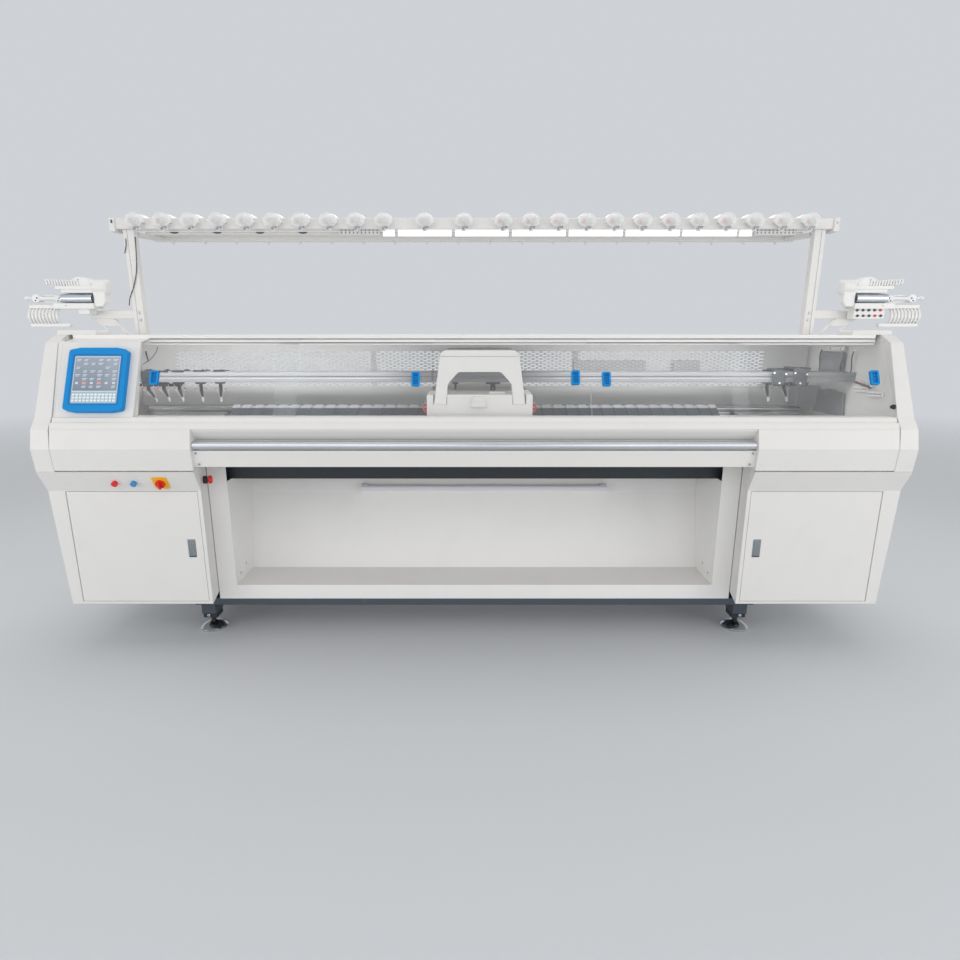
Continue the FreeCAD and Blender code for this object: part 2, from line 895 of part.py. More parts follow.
def slot_places():
    # middles of the wall's slots, every second row shifted by half a pitch
    pitch = 2 * guard_reach / guard_slots
    for row in range(guard_rows):
        shifted = row % 2
        for column in range(guard_slots - shifted):
            x = (column - (guard_slots - 1) / 2 + shifted / 2) * pitch
            yield x, guard_first_row + row * guard_row_pitch


def rear_guard():
    # sloping shelf and a perforated wall up to the top cover
    half = housing_outer
    bend_top = (guard_bend[0], guard_bend[1] + 8)
    shelf = along_x(folded([guard_foot, guard_bend, bend_top], sheet), -half, half)
    face = rectangle(-half, half, bend_top[1], top_height - sheet)
    wires = [outline(face, lambda p: Vector(p.x, 0, p.y))]
    for x, z in slot_places():
        slot = rectangle(x - guard_slot_length / 2, x + guard_slot_length / 2,
                         z - guard_slot_height / 2, z + guard_slot_height / 2)
        wires.append(outline(slot[::-1], lambda p: Vector(p.x, 0, p.y)))
    wall = Part.Face(wires).translated(Vector(0, guard_bend[0] - sheet, 0)).extrude(Vector(0, sheet, 0))
    return fused([shelf, wall])


def rear_panels():
    # the upper panel has long windows behind the perforated wall, the lower one is plain
    upper = block(-housing_outer, housing_outer, rear_face, rear_face + sheet, strip_top, top_height)
    length = (2 * rear_window_reach - (rear_windows - 1) * rear_window_rib) / rear_windows
    for k in range(rear_windows):
        x = k * (length + rear_window_rib) - rear_window_reach
        hole = rectangle(x, x + length, rear_window_low, rear_window_high)
        upper = upper.cut(along_y(hole, rear_face - 1, body_depth))
    inner = centre_half + cheek_step
    lower = block(-inner, inner, rail_back, rail_back + sheet, rail_bottom, strip_top)
    shelf = block(-inner, inner, rail_back, rear_face, strip_top - sheet, strip_top)
    return [upper, fused([lower, shelf])]


# Machine bed, needle beds and roller

def bed_surface(distance, below=0.0):
    # height of a needle bed's face at a distance from its apex
    return bed_apex - distance * bed_fall - below


def main_bed_section(seat=0.0):
    # the front half of the bed, whose top carries the needle bed less the seat
    drop = bed_thickness / math.cos(math.radians(bed_slope)) + seat
    tip = bed_centre - throat_width / 2
    toe = beam_front + bed_toe
    ledge_bottom = deck_height - ledge_height
    return [(beam_front, bed_bottom), (tip, bed_bottom), (tip, bed_surface(apex_front - tip, drop)),
            (toe, bed_surface(apex_front - toe, drop)), (toe, deck_height), (ledge_front, deck_height),
            (ledge_front, ledge_bottom), (beam_front, ledge_bottom)]


def main_bed():
    front = along_x(main_bed_section(), -bed_half, bed_half)
    back = along_x(back_to_front(main_bed_section(seat_gap)), -bed_half, bed_half)
    reach = throat_width / 2 + 1
    end = block(bed_half - end_block, bed_half, bed_centre - reach, bed_centre + reach, bed_bottom,
                roller_height + end_block_rise)
    bore = cross_bar(-bed_half - 1, bed_half + 1, bed_centre, roller_height, roller_shaft + running_fit)
    return fused([front, back] + both_sides(end)).cut(bore)


def take_down_roller():
    reach = bed_half - end_block - 1
    axle = reach + shaft_reach
    return fused([cross_bar(-reach, reach, bed_centre, roller_height, roller_radius),
                  cross_bar(-axle, axle, bed_centre, roller_height, roller_shaft)])


def needle_bed(half):
    # slots cut across a flat bar, which then leans down from the apex
    length = (apex_front - beam_front - bed_toe - 2 * seat_gap) / math.cos(math.radians(bed_slope))
    pitch = (2 * half - 2 * slot_margin) / needle_slots
    points = [(-half, -bed_thickness), (half, -bed_thickness), (half, 0)]
    for k in reversed(range(needle_slots)):
        middle = -half + slot_margin + (k + 0.5) * pitch
        left, right = middle - slot_width / 2, middle + slot_width / 2
        points += [(right, 0), (right, -slot_depth), (left, -slot_depth), (left, 0)]
    points.append((-half, 0))
    bar = along_y(points, -length, 0)
    bar.rotate(Vector(0, 0, 0), Vector(1, 0, 0), bed_slope)
    bar.translate(Vector(0, apex_front, bed_apex))
    cut = block(-half - 1, half + 1, apex_front, apex_front + 40, bed_apex - 60, bed_apex + 60)
    return bar.cut(cut)


def rear_needle_bed():
    bed = needle_bed(bed_half - racking - 2)
    return bed.mirror(Vector(0, bed_centre, 0), Vector(0, 1, 0))


def carriage_rails():
    # a round rod on a web and a flat foot, in front of and behind the beds
    rails = []
    for y in (guide_front, guide_rear):
        bar = cross_bar(-guide_half, guide_half, y, guide_height, guide_radius)
        foot = block(-guide_half, guide_half, y - guide_base / 2, y + guide_base / 2,
                     deck_height, deck_height + guide_foot)
        web = block(-guide_half, guide_half, y - guide_web / 2, y + guide_web / 2, deck_height, guide_height)
        rails.append(fused([bar, foot, web]))
    return rails


def carrier_rail_place(index):
    return bed_centre + (index - (carrier_rails - 1) / 2) * carrier_rail_pitch


def yarn_carrier_rails():
    # bars with a groove along each face, as long as the leaning end plates allow
    rise = (carrier_rail_bottom - nose_height) / (top_height - nose_height)
    half = housing_outer + rise * (top_cover_half - housing_outer)
    wide = carrier_rail_width / 2
    slim = wide - carrier_rail_groove
    low, high = carrier_rail_bottom + carrier_rail_lip, carrier_rail_top - carrier_rail_lip
    side = [(wide, carrier_rail_bottom), (wide, low), (slim, low + carrier_rail_groove),
            (slim, high - carrier_rail_groove), (wide, high), (wide, carrier_rail_top)]
    section = side + [(-y, z) for y, z in reversed(side)]
    rails = []
    for k in range(carrier_rails):
        middle = carrier_rail_place(k)
        rails.append(along_x([(middle + y, z) for y, z in section], -half, half))
    return rails


def yarn_carrier(track, x):
    # even tracks run on a rail's front face, odd ones on its back face
    rail = carrier_rail_place(track // 2)
    facing = -1 if track % 2 == 0 else 1
    near = rail + facing * (carrier_rail_width / 2 + seat_gap)
    far = near + facing * slider_width
    y0, y1 = sorted((near, far))
    left, right = x - slider_length / 2, x + slider_length / 2
    top = carrier_rail_top + slider_rise
    slider = block(left, right, y0, y1, carrier_rail_bottom - slider_rise, top)
    h0, h1 = sorted((rail + facing * slider_hook, far))
    hook = block(left, right, h0, h1, carrier_rail_top + seat_gap, top)
    return fused([slider, hook, carrier_arm(track, x, (y0 + y1) / 2)])


def carrier_arm(track, x, middle):
    # a flat arm that hangs from the slider and bends over to its own place at the needles
    tip = bed_centre + (track - (2 * carrier_rails - 1) / 2) * tip_pitch
    knee = carrier_rail_bottom - arm_drop
    line = [(middle, carrier_rail_bottom), (middle, knee), (tip, tip_height + tip_length), (tip, tip_height)]
    side = [(y - arm_thickness / 2, z) for y, z in line]
    side += [(y + arm_thickness / 2, z) for y, z in reversed(line)]
    wide, slim = arm_width / 2, tip_width / 2
    face = [(x - wide, carrier_rail_bottom), (x + wide, carrier_rail_bottom), (x + wide, knee),
            (x + slim, tip_height), (x - slim, tip_height), (x - wide, knee)]
    return along_x(side, x - wide, x + wide).common(along_y(face, 0, body_depth))


# Carriage

def cam_section():
    # a box whose underside follows the needle bed up to the gap between the beds
    back = bed_centre - cam_back_gap
    turn = apex_front - (bed_apex + cam_clearance - cam_bottom) / bed_fall
    back_height = cam_bottom + (back - turn) * bed_fall
    return [(cam_front + 6, cam_bottom), (turn, cam_bottom), (back, back_height),
            (back, cam_top - cam_chamfer + 2), (back - cam_chamfer, cam_top), (cam_front + 8, cam_top, 6),
            (cam_front, cam_bottom + 40)]


def guide_groove(box, y):
    left = carriage_centre - carriage_width / 2
    return box.cut(cross_bar(left - 1, left + carriage_width + 1, y, guide_height, guide_radius + seat_gap))


def carriage_base():
    # cam boxes over the two needle beds and a feeler at each end
    left, right = carriage_centre - carriage_width / 2, carriage_centre + carriage_width / 2
    front = along_x(cam_section(), left, right)
    back = along_x(back_to_front(cam_section()), left, right)
    back = back.cut(block(left - 1, right + 1, guard_foot[0] - cam_clearance, body_depth, 0, top_height))
    front = guide_groove(front, guide_front)
    for side in (-1, 1):
        low, high = leg_span(side)
        front = front.cut(block(low - arch_slit, high + arch_slit, cam_front - 20,
                                arch_face + arch_wall + arch_foot_step + seat_gap,
                                arch_bottom - seat_gap, cam_top + 1))
    half = feeler_width / 2
    feelers = [block(x - half, x + half, cam_front + 40, cam_front + 40 + feeler_width,
                     cam_bottom + feeler_level, cam_bottom + feeler_level + feeler_height)
               for x in (left - half, right + half)]
    return [front.fuse(front_wedge()), guide_groove(back, guide_rear)] + feelers


def front_wedge():
    # the tapered block on the front of the carriage
    middle = carriage_centre - wedge_offset
    low, high = cam_top - 50, cam_top - 6
    face = [(middle - wedge_foot / 2, low), (middle + wedge_foot / 2, low),
            (middle + wedge_top / 2, high), (middle - wedge_top / 2, high)]
    return along_y(face, cam_front - wedge_depth, cam_front + wedge_depth)


def leg_span(side):
    # left and right edge of one leg of the arch at its foot
    outer = arch_bottom_width / 2
    inner = opening_width / 2 + 4
    return sorted((carriage_centre + side * outer, carriage_centre + side * inner))


def arch_tunnel():
    # the way through the bridge for the yarn carriers, parallel to its leaning faces
    rear = 2 * bed_centre
    high = arch_top - arch_wall
    lean = arch_lean * (high - cam_top) / (arch_top - arch_bottom)
    start = arch_face + arch_lean * (cam_top - arch_bottom) / (arch_top - arch_bottom) + arch_wall
    tunnel = [(start, cam_top - 1), (start + lean, high, tunnel_rounding),
              (rear - start - lean, high, tunnel_rounding), (rear - start - 30, cam_top - 1)]
    reach = arch_bottom_width / 2 + 1
    return along_x(tunnel, carriage_centre - reach, carriage_centre + reach)


def carriage_cover():
    # a bridge over both beds, wider at its foot, with a round-cornered mouth in front
    c, rear = carriage_centre, 2 * bed_centre
    low, high = arch_bottom_width / 2, arch_top_width / 2
    front = [(c - low, arch_bottom), (c + low, arch_bottom), (c + high, arch_top, arch_corner),
             (c - high, arch_top, arch_corner)]
    foot = arch_face + arch_wall
    side = [(arch_face, arch_bottom), (foot, arch_bottom), (foot + arch_foot_step, cam_top),
            (rear - arch_face - 30, cam_top), (rear - arch_face - arch_lean, arch_top, arch_rounding),
            (arch_face + arch_lean, arch_top, arch_rounding)]
    shell = along_y(front, 0, body_depth).common(along_x(side, c - low, c + low)).cut(arch_tunnel())
    top, wide = opening_top_width / 2 + 10, opening_width / 2
    mouth = [(c - wide - 4, arch_bottom - 1), (c - wide, opening_shoulder, opening_rounding),
             (c - top, opening_top, 22), (c + top, opening_top, 22),
             (c + wide, opening_shoulder, opening_rounding), (c + wide + 4, arch_bottom - 1)]
    return shell.cut(along_y(mouth, 0, bed_centre))


# Controls and terminal

def push_button(x):
    button = Part.makeCylinder(button_radius, button_reach + button_stem, Vector(x, 0, -button_stem))
    rim = Part.makeCylinder(button_radius + button_rim, button_rim_height,
                            Vector(x, 0, button_reach - button_rim_height + button_travel - 2))
    return on_strip(button.fuse(rim))


def main_switch_plate():
    half = switch_plate / 2
    x = switch_place
    plate = along_z(rectangle(x - half, x + half, -half, half, 5), 0, switch_plate_thickness)
    return on_strip(plate.cut(Part.makeCylinder(switch_stem, 10, Vector(x, 0, -2))))


def main_switch_knob():
    x = switch_place
    foot = switch_plate_thickness + seat_gap
    length = switch_knob - 2
    base = Part.makeCylinder(switch_knob, switch_base, Vector(x, 0, foot))
    grip = along_z(rectangle(x - switch_grip, x + switch_grip, -length, length, 3), foot, switch_reach)
    stem = Part.makeCylinder(switch_stem - running_fit, 20, Vector(x, 0, -10))
    return on_strip(fused([base, grip, stem]))


def emergency_stop_base():
    base = cross_bar(0, stop_base_length, 0, 0, stop_base_radius)
    return on_cheek(base.cut(cross_bar(-1, stop_base_length + 1, 0, 0, stop_stem + running_fit)))


def emergency_stop_head():
    start = stop_base_length + stop_travel + seat_gap
    end = start + stop_head_length
    crown = Part.makeCone(stop_head_radius, stop_head_radius - 5, stop_crown, Vector(end, 0, 0),
                          Vector(1, 0, 0))
    return on_cheek(fused([cross_bar(-4, start + 1, 0, 0, stop_stem),
                           cross_bar(start, end, 0, 0, stop_head_radius), crown]))


def terminal_edges(border):
    # left, right, low and high edge on the slope, drawn in by the border
    return (terminal_left + border, terminal_right - border,
            along_slope(terminal_low) + border, along_slope(terminal_high) - border)


def terminal_bezel():
    # the upper and lower edges bulge out to a flat middle third
    left, right, low, high = terminal_edges(0)
    middle = (left + right) / 2
    shoulder = (right - left) / 3.2
    points = [(left, low, terminal_corner), (middle - shoulder, low - terminal_bulge),
              (middle + shoulder, low - terminal_bulge), (right, low, terminal_corner),
              (right, high, terminal_corner), (middle + shoulder, high + terminal_bulge),
              (middle - shoulder, high + terminal_bulge), (left, high, terminal_corner)]
    body = along_z(points, 0, terminal_thickness)
    recess = rectangle(*terminal_edges(screen_border - 4), 5)
    return on_slope(body.cut(along_z(recess, terminal_thickness - face_depth - face_recess,
                                     terminal_thickness + 1)))


def terminal_face():
    # screen panel with rows of keys along its lower part
    floor = terminal_thickness - face_depth - face_recess
    top = floor + face_depth
    face = along_z(rectangle(*terminal_edges(screen_border - 3.5), 5), floor, top)
    left, right, low, high = terminal_edges(screen_border)
    pitch = (right - left) / key_columns
    keys = []
    for row in range(key_rows):
        for column in range(key_columns):
            x = left + (column + 0.5) * pitch
            y = low + 8 + row * key_pitch
            keys.append(block(x - key_width / 2, x + key_width / 2, y - key_height / 2, y + key_height / 2,
                              top - 0.5, top + key_rise))
    return on_slope(face.multiFuse(keys))


# Yarn stand

def stand_posts():
    # square posts with a groove down the front and back
    front, back = post_middle - post_depth / 2, post_middle + post_depth / 2
    post = block(post_inner, post_outer, front, back, top_height, stand_bottom)
    middle = (post_inner + post_outer) / 2
    for y0, y1 in ((front, front + post_groove_depth), (back - post_groove_depth, back)):
        post = post.cut(block(middle - post_groove / 2, middle + post_groove / 2, y0, y1,
                              top_height + 20, stand_bottom))
    return both_sides(post)


def stand_beam():
    front, back = post_middle - stand_depth / 2, post_middle + stand_depth / 2
    beam = along_x(rectangle(front, back, stand_bottom, stand_top), -stand_half, stand_half)
    inner, outer = stand_half - stand_cap_overlap, stand_half + stand_cap
    cap = [(inner, stand_bottom - stand_cap, 6), (outer, stand_bottom - 10, 6), (outer, stand_top, 8),
           (inner, stand_top)]
    return fused([beam] + both_sides(along_y(cap, front - stand_cap_front, back)))


def rear_guide_bar():
    # a bar behind the beam on two slanted arms, with an eyelet for each yarn
    y0, y1 = guide_bar_back - guide_bar_depth, guide_bar_back
    start = post_middle + post_depth / 2
    arm = [(post_inner, start), (post_outer, start), (guide_bar_half, y0),
           (guide_bar_half - guide_arm_width, y0)]
    arms = both_sides(along_z(arm, guide_bar_bottom + 4, guide_bar_top - 4))
    pieces = [block(-guide_bar_half, guide_bar_half, y0, y1, guide_bar_bottom, guide_bar_top)]
    pitch = 2 * (guide_bar_half - eyelet_margin) / (eyelets - 1)
    low, half = guide_bar_bottom - eyelet_drop, eyelet_radius / 2
    for k in range(eyelets):
        x = (k - (eyelets - 1) / 2) * pitch
        drop = [(x - eyelet_radius, guide_bar_bottom), (x - half, low), (x + half, low),
                (x + eyelet_radius, guide_bar_bottom)]
        pieces.append(along_y(drop, y0 + 4, y0 + 14))
    return [fused(pieces)] + arms


def tensioner(x):
    # a domed cap on the beam, a body that tapers down the beam's front, and a round lens
    front = post_middle - stand_depth / 2
    face = front - cap_front
    middle = face + cap_half_length
    turns = [math.pi * k / cap_sections for k in range(cap_sections + 1)]
    dome = [(middle - cap_half_length * math.cos(turn), stand_top + cap_rise * math.sin(turn))
            for turn in turns]
    left, right = x - cap_half_width, x + cap_half_width
    ridge = cap_half_width / 2
    gable = [(left, stand_top), (right, stand_top), (x + ridge, stand_top + cap_rise),
             (x - ridge, stand_top + cap_rise)]
    cap = along_x(dome, left, right).common(along_y(gable, 0, body_depth))
    low = stand_bottom - tensioner_drop
    body = along_y([(left, stand_top), (right, stand_top), (x + tensioner_foot, low),
                    (x - tensioner_foot, low)], face, front)
    ring = regular_outline(x - lens_offset, stand_top - lens_radius, lens_radius, lens_sides)
    return fused([cap, body, along_y(ring, face - lens_reach, front - cap_front / 2)])


def yarn_tensioners():
    # three groups, each evenly spaced from its first place to its last
    groups = [(left_tensioners, left_tensioners_from, left_tensioners_to),
              (middle_tensioners, middle_tensioners_from, middle_tensioners_to),
              (right_tensioners, right_tensioners_from, right_tensioners_to)]
    return [tensioner(first + k * (last - first) / (count - 1))
            for count, first, last in groups for k in range(count)]


def lamp_strip():
    # a row of lamp covers with a shorter socket at each end
    low, high = stand_bottom - lamp_drop, stand_bottom
    front, back = post_middle - lamp_depth / 2, post_middle + lamp_depth / 2
    end = lamp_first + lamps * (lamp_length + lamp_gap)
    spans = [(lamp_first + k * (lamp_length + lamp_gap), lamp_length) for k in range(lamps)]
    spans += [(lamp_first - lamp_gap - lamp_socket, lamp_socket), (end, lamp_socket)]
    return [block(x, x + length, front, back, low, high) for x, length in spans]


# Side yarn feeders, drawn for the right side

def feeder_bracket():
    # an arm off the stand post, held up by two braces
    front = feeder_plate_back
    back = front + bracket_thickness
    low = bracket_top - bracket_depth
    arm = block(post_outer, bracket_end, front, back, low, bracket_top)
    brace = along_y([(brace_top, low + 1), (brace_top + brace_width, low + 1),
                     (brace_foot + brace_width, top_height), (brace_foot, top_height)], front, back)
    stay = along_y([(brace_foot + 20, low + 1), (brace_foot + 40, low + 1),
                    (brace_foot + 66, low - 36), (brace_foot + 50, low - 46)], front, back)
    clamp = block(post_outer, post_outer + bracket_clamp, post_middle - 20, post_middle + 20,
                  low - 24, bracket_top)
    return fused([arm, brace, stay, clamp])


def feeder_body():
    # back plate with a domed cover and motor, two ledges and the cheeks of the roller
    back = feeder_plate_back
    face = back - feeder_plate
    plate = block(dome_inner + 20, feeder_roller_outer + feeder_cheek + 4, face, back,
                  bracket_top, dome_bottom + 20)
    foot = block(bracket_foot, bracket_end, face, back, bracket_top - bracket_depth, bracket_top)
    cover = [(dome_inner, dome_bottom), (dome_outer, dome_bottom), (dome_outer, dome_top - dome_fall),
             (dome_outer - 2 * dome_fall, dome_top), (dome_inner + dome_fall / 2, dome_top),
             (dome_inner, dome_top - dome_fall / 2)]
    dome = along_y(cover, face - dome_reach, back)
    motor = cross_bar(motor_inner, motor_outer, feeder_middle + motor_back, motor_height, motor_radius)
    ledges = [block(feeder_roller_inner, feeder_roller_outer, back - ledge_reach, back, z,
                    z + ledge_thickness) for z in (ledge_high, ledge_low)]
    cheeks = [block(x, x + feeder_cheek, feeder_middle - feeder_cheek_reach, back, ledge_low, ledge_high)
              for x in (feeder_roller_inner - feeder_cheek - 1, feeder_roller_outer + 1)]
    bore = cross_bar(feeder_roller_inner - 40, feeder_roller_outer + 40, feeder_middle, feeder_roller_height,
                     feeder_shaft + running_fit)
    body = [plate, foot, dome, motor] + ledges + cheeks + knob_link() + feeder_rack(face, back)
    return fused(body).cut(bore)


def dial_panel():
    # a plate under the lower ledge of the right feeder that carries its dials
    inner = feeder_roller_inner - feeder_cheek - 10
    return block(inner, inner + dial_panel_width, feeder_middle - 12, feeder_plate_back - feeder_plate,
                 ledge_low - dial_panel_height, ledge_low)


def feeder_bodies():
    return [mirrored(feeder_body()), fused([feeder_body(), dial_panel()])]


def knob_link():
    # a tapering link with a round knob at each end
    z = feeder_roller_height
    front = feeder_middle + link_back
    inner = link_near - link_radius
    face = [(inner, z - link_half_height), (feeder_outer, z - link_tip), (feeder_outer, z + link_tip),
            (inner, z + link_half_height)]
    start = feeder_middle + knob_lead
    knobs = [along_y(regular_outline(x, z, link_radius, knob_sides), start, start + knob_length)
             for x in (link_near, link_far)]
    return [along_y(face, front, front + link_thickness)] + knobs


def feeder_rack(face, back):
    # a bar with leaning pegs that keeps the yarns apart
    low = ledge_high + rack_level
    bar_top, peg_top = low + rack_bar, low + rack_level
    front = face - rack_reach
    pieces = [block(rack_inner, rack_outer, front, front + 6, low, bar_top),
              block(rack_inner, rack_inner + 20, front, back, low, bar_top)]
    pitch = (rack_outer - rack_inner) / rack_pegs
    for k in range(rack_pegs):
        left = rack_inner + (k + 0.5) * pitch - peg_width / 2
        right = left + peg_width
        peg = [(left, low), (right, low), (right + peg_lean, peg_top), (left + peg_lean, peg_top)]
        pieces.append(along_y(peg, front - 4, front - 4 + peg_depth))
    return pieces


def feeder_roller():
    inner, outer = feeder_roller_inner, feeder_roller_outer
    return fused([cross_bar(inner, outer, feeder_middle, feeder_roller_height, feeder_roller_radius),
                  cross_bar(inner - feeder_cheek, outer + feeder_cheek, feeder_middle, feeder_roller_height,
                            feeder_shaft)])


def half_ring(y, z, radius, bends):
    # points on the front half of a circle about (y, z), from its bottom to its top
    turns = [math.pi * (k / bends - 0.5) for k in range(bends + 1)]
    return [(y - radius * math.cos(turn), z + radius * math.sin(turn)) for turn in turns]


def feeder_comb():
    # curved ribs on a spine, each standing across the machine, with a straight lip below
    y = feeder_middle + comb_back
    z = ledge_low - comb_radius - 1
    foot = z - comb_radius
    outer_edge = half_ring(y, z, comb_radius, comb_bends)
    inner_edge = half_ring(y, z, comb_radius - comb_wall, comb_bends)
    rib = outer_edge + inner_edge[::-1]
    spine_back = y + comb_spine
    pieces = [block(comb_inner - 6, comb_outer + 14, y, spine_back, foot, z + comb_radius),
              block(comb_inner - 50, comb_outer - 6, y - 30, spine_back, foot - 6, foot + 1),
              block(comb_inner - 14, comb_inner + 2, y, feeder_plate_back - feeder_plate,
                    ledge_low - 16, ledge_low - 2)]
    pitch = (comb_outer - comb_inner) / (comb_ribs - 1)
    for k in range(comb_ribs):
        x = comb_inner + k * pitch
        pieces.append(along_x(rib, x, x + comb_rib))
    return fused(pieces)


save("base_frame", base_frame())
save("levelling_feet", levelling_feet())
save("fabric_bin", fabric_bin())
save("bin_side_panels", bin_side_panels())
save("bin_lamp", bin_lamp())
save("left_cabinet", left_cabinet())
save("right_cabinet", right_cabinet())
save("left_door", mirrored(right_door()))
save("right_door", right_door())
save("left_door_latch", mirrored(right_latch()))
save("right_door_latch", right_latch())
save("end_plates", end_plates())
save("left_nose_housing", mirrored(right_nose_housing()))
save("right_nose_housing", right_nose_housing())
save("electrics_boxes", electrics_boxes())
save("front_beam_cover", front_beam_cover())
save("operating_bar", operating_bar())
save("window_rail", window_rail())
save("top_cover", top_cover())
save("terminal_panel", terminal_panel())
for name, (track, offset, handle_side) in windows.items():
    save(name, window(track, terminal_panel_end + offset, handle_side))
save("rear_guard", rear_guard())
save("rear_panels", rear_panels())
save("main_bed", main_bed())
save("take_down_roller", take_down_roller())
save("front_needle_bed", needle_bed(bed_half))
save("rear_needle_bed", rear_needle_bed())
save("carriage_rails", carriage_rails())
save("yarn_carrier_rails", yarn_carrier_rails())
for name, (track, x) in carriers.items():
    save(name, yarn_carrier(track, x))
save("carriage_base", carriage_base())
save("carriage_cover", carriage_cover())
save("red_button", push_button(red_button_place))
save("blue_button", push_button(blue_button_place))
save("main_switch_plate", main_switch_plate())
save("main_switch_knob", main_switch_knob())
save("emergency_stop_base", emergency_stop_base())
save("emergency_stop_head", emergency_stop_head())
save("terminal_bezel", terminal_bezel())
save("terminal_face", terminal_face())
save("stand_posts", stand_posts())
save("stand_beam", stand_beam())
save("rear_guide_bar", rear_guide_bar())
save("yarn_tensioners", yarn_tensioners())
save("lamp_strip", lamp_strip())
save("feeder_brackets", both_sides(feeder_bracket()))
save("feeder_bodies", feeder_bodies())
save("left_feeder_roller", mirrored(feeder_roller()))
save("right_feeder_roller", feeder_roller())
save("feeder_combs", both_sides(feeder_comb()))
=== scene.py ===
import json
import math

import bmesh
import bpy
import numpy as np
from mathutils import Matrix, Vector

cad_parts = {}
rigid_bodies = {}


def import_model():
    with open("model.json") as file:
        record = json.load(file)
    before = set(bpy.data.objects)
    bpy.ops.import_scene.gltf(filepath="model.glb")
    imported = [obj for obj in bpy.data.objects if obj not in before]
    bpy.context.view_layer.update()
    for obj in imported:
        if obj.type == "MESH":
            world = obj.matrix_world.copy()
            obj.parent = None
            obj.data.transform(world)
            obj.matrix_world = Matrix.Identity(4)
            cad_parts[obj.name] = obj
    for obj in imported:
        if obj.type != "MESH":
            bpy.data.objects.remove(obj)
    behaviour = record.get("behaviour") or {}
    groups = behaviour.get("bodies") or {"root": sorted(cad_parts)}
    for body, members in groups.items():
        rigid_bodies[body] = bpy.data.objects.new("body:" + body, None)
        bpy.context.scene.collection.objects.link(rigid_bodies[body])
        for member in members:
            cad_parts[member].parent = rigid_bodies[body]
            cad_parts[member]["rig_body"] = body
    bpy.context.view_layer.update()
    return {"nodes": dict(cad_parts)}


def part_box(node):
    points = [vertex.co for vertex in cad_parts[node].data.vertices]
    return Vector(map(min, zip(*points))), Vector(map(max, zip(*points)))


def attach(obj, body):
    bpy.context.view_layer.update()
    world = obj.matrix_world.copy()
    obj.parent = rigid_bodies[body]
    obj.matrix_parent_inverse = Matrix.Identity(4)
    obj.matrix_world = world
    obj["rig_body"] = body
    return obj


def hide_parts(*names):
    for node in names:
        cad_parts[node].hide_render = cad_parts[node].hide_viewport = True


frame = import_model()
scene = bpy.context.scene
print("frame loaded:", len(frame["nodes"]), "nodes")


class Wire:
    # one socket or number in a node tree; sums and products on it add Math nodes
    def __init__(self, tree, source):
        self.tree = tree
        self.source = source

    def math(self, operation, *others):
        return self.tree.node("ShaderNodeMath", {"operation": operation}, dict(enumerate((self, *others))))

    def __add__(self, other):
        return self.math("ADD", other)

    def __sub__(self, other):
        return self.math("SUBTRACT", other)

    def __rsub__(self, other):
        return Wire(self.tree, float(other)).math("SUBTRACT", self)

    def __mul__(self, other):
        return self.math("MULTIPLY", other)

    def __truediv__(self, other):
        return self.math("DIVIDE", other)

    def __mod__(self, other):
        return self.math("FLOORED_MODULO", other)

    def __lt__(self, other):
        return self.math("LESS_THAN", other)

    def __abs__(self):
        return self.math("ABSOLUTE")

    def clamped(self):
        return self.tree.node("ShaderNodeClamp", {}, {0: self})

    __radd__ = __add__
    __rmul__ = __mul__


class Nodes:
    # a node tree, emptied first
    def __init__(self, tree):
        self.tree = tree
        tree.nodes.clear()

    def node(self, kind, settings, sockets, output=0):
        made = self.tree.nodes.new(kind)
        for key, value in settings.items():
            setattr(made, key, value)
        for key, value in sockets.items():
            self.join(value, made.inputs[key])
        return Wire(self, made.outputs[output]) if made.outputs else None

    def join(self, value, socket):
        if isinstance(value, Wire):
            value = value.source
        if isinstance(value, bpy.types.NodeSocket):
            self.tree.links.new(value, socket)
        elif socket.type == "RGBA":
            socket.default_value = tuple(value) + (1.0,) * (4 - len(value))
        else:
            socket.default_value = value


class Finish(Nodes):
    # a material under construction: one Principled shader and what feeds it
    def __init__(self, name, **fixed):
        self.material = bpy.data.materials.new(name)
        self.material.use_nodes = True
        super().__init__(self.material.node_tree)
        self.shader = self.node("ShaderNodeBsdfPrincipled", {}, {}).source.node
        self.node("ShaderNodeOutputMaterial", {}, {"Surface": self.shader.outputs[0]})
        self.place = self.node("ShaderNodeTexCoord", {}, {}, "Object")
        self.feed(**fixed)

    def feed(self, **sockets):
        for key, value in sockets.items():
            self.join(value, self.shader.inputs[key.replace("_", " ")])
        return self

    def noise(self, scale, detail=2.0, roughness=0.5, stretch=(1, 1, 1), turn=(0, 0, 0)):
        spot = self.node("ShaderNodeMapping", {}, {"Vector": self.place, "Scale": stretch, "Rotation": turn})
        sockets = {"Vector": spot, "Scale": scale, "Detail": detail, "Roughness": roughness}
        return self.node("ShaderNodeTexNoise", {}, sockets, "Fac")

    def mix(self, factor, first, second):
        # index 6 and 7 are the two colours of a Mix node, output 2 its colour
        return self.node("ShaderNodeMix", {"data_type": "RGBA"}, {0: factor, 6: first, 7: second}, 2)

    def bump(self, height, strength, distance, edge=0.0):
        # distance in metres is how deep the height's full range goes; edge is a softened edge's radius
        sockets = {"Height": height, "Strength": strength, "Distance": distance}
        if edge:
            sockets["Normal"] = self.node("ShaderNodeBevel", {"samples": 4}, {"Radius": edge})
        return self.feed(Normal=self.node("ShaderNodeBump", {}, sockets))

    def axes(self):
        split = self.node("ShaderNodeSeparateXYZ", {}, {0: self.place}).source.node
        return [Wire(self, socket) for socket in split.outputs]


def shade(colour, amount):
    return tuple(max(0.0, min(1.0, c * amount)) for c in colour)


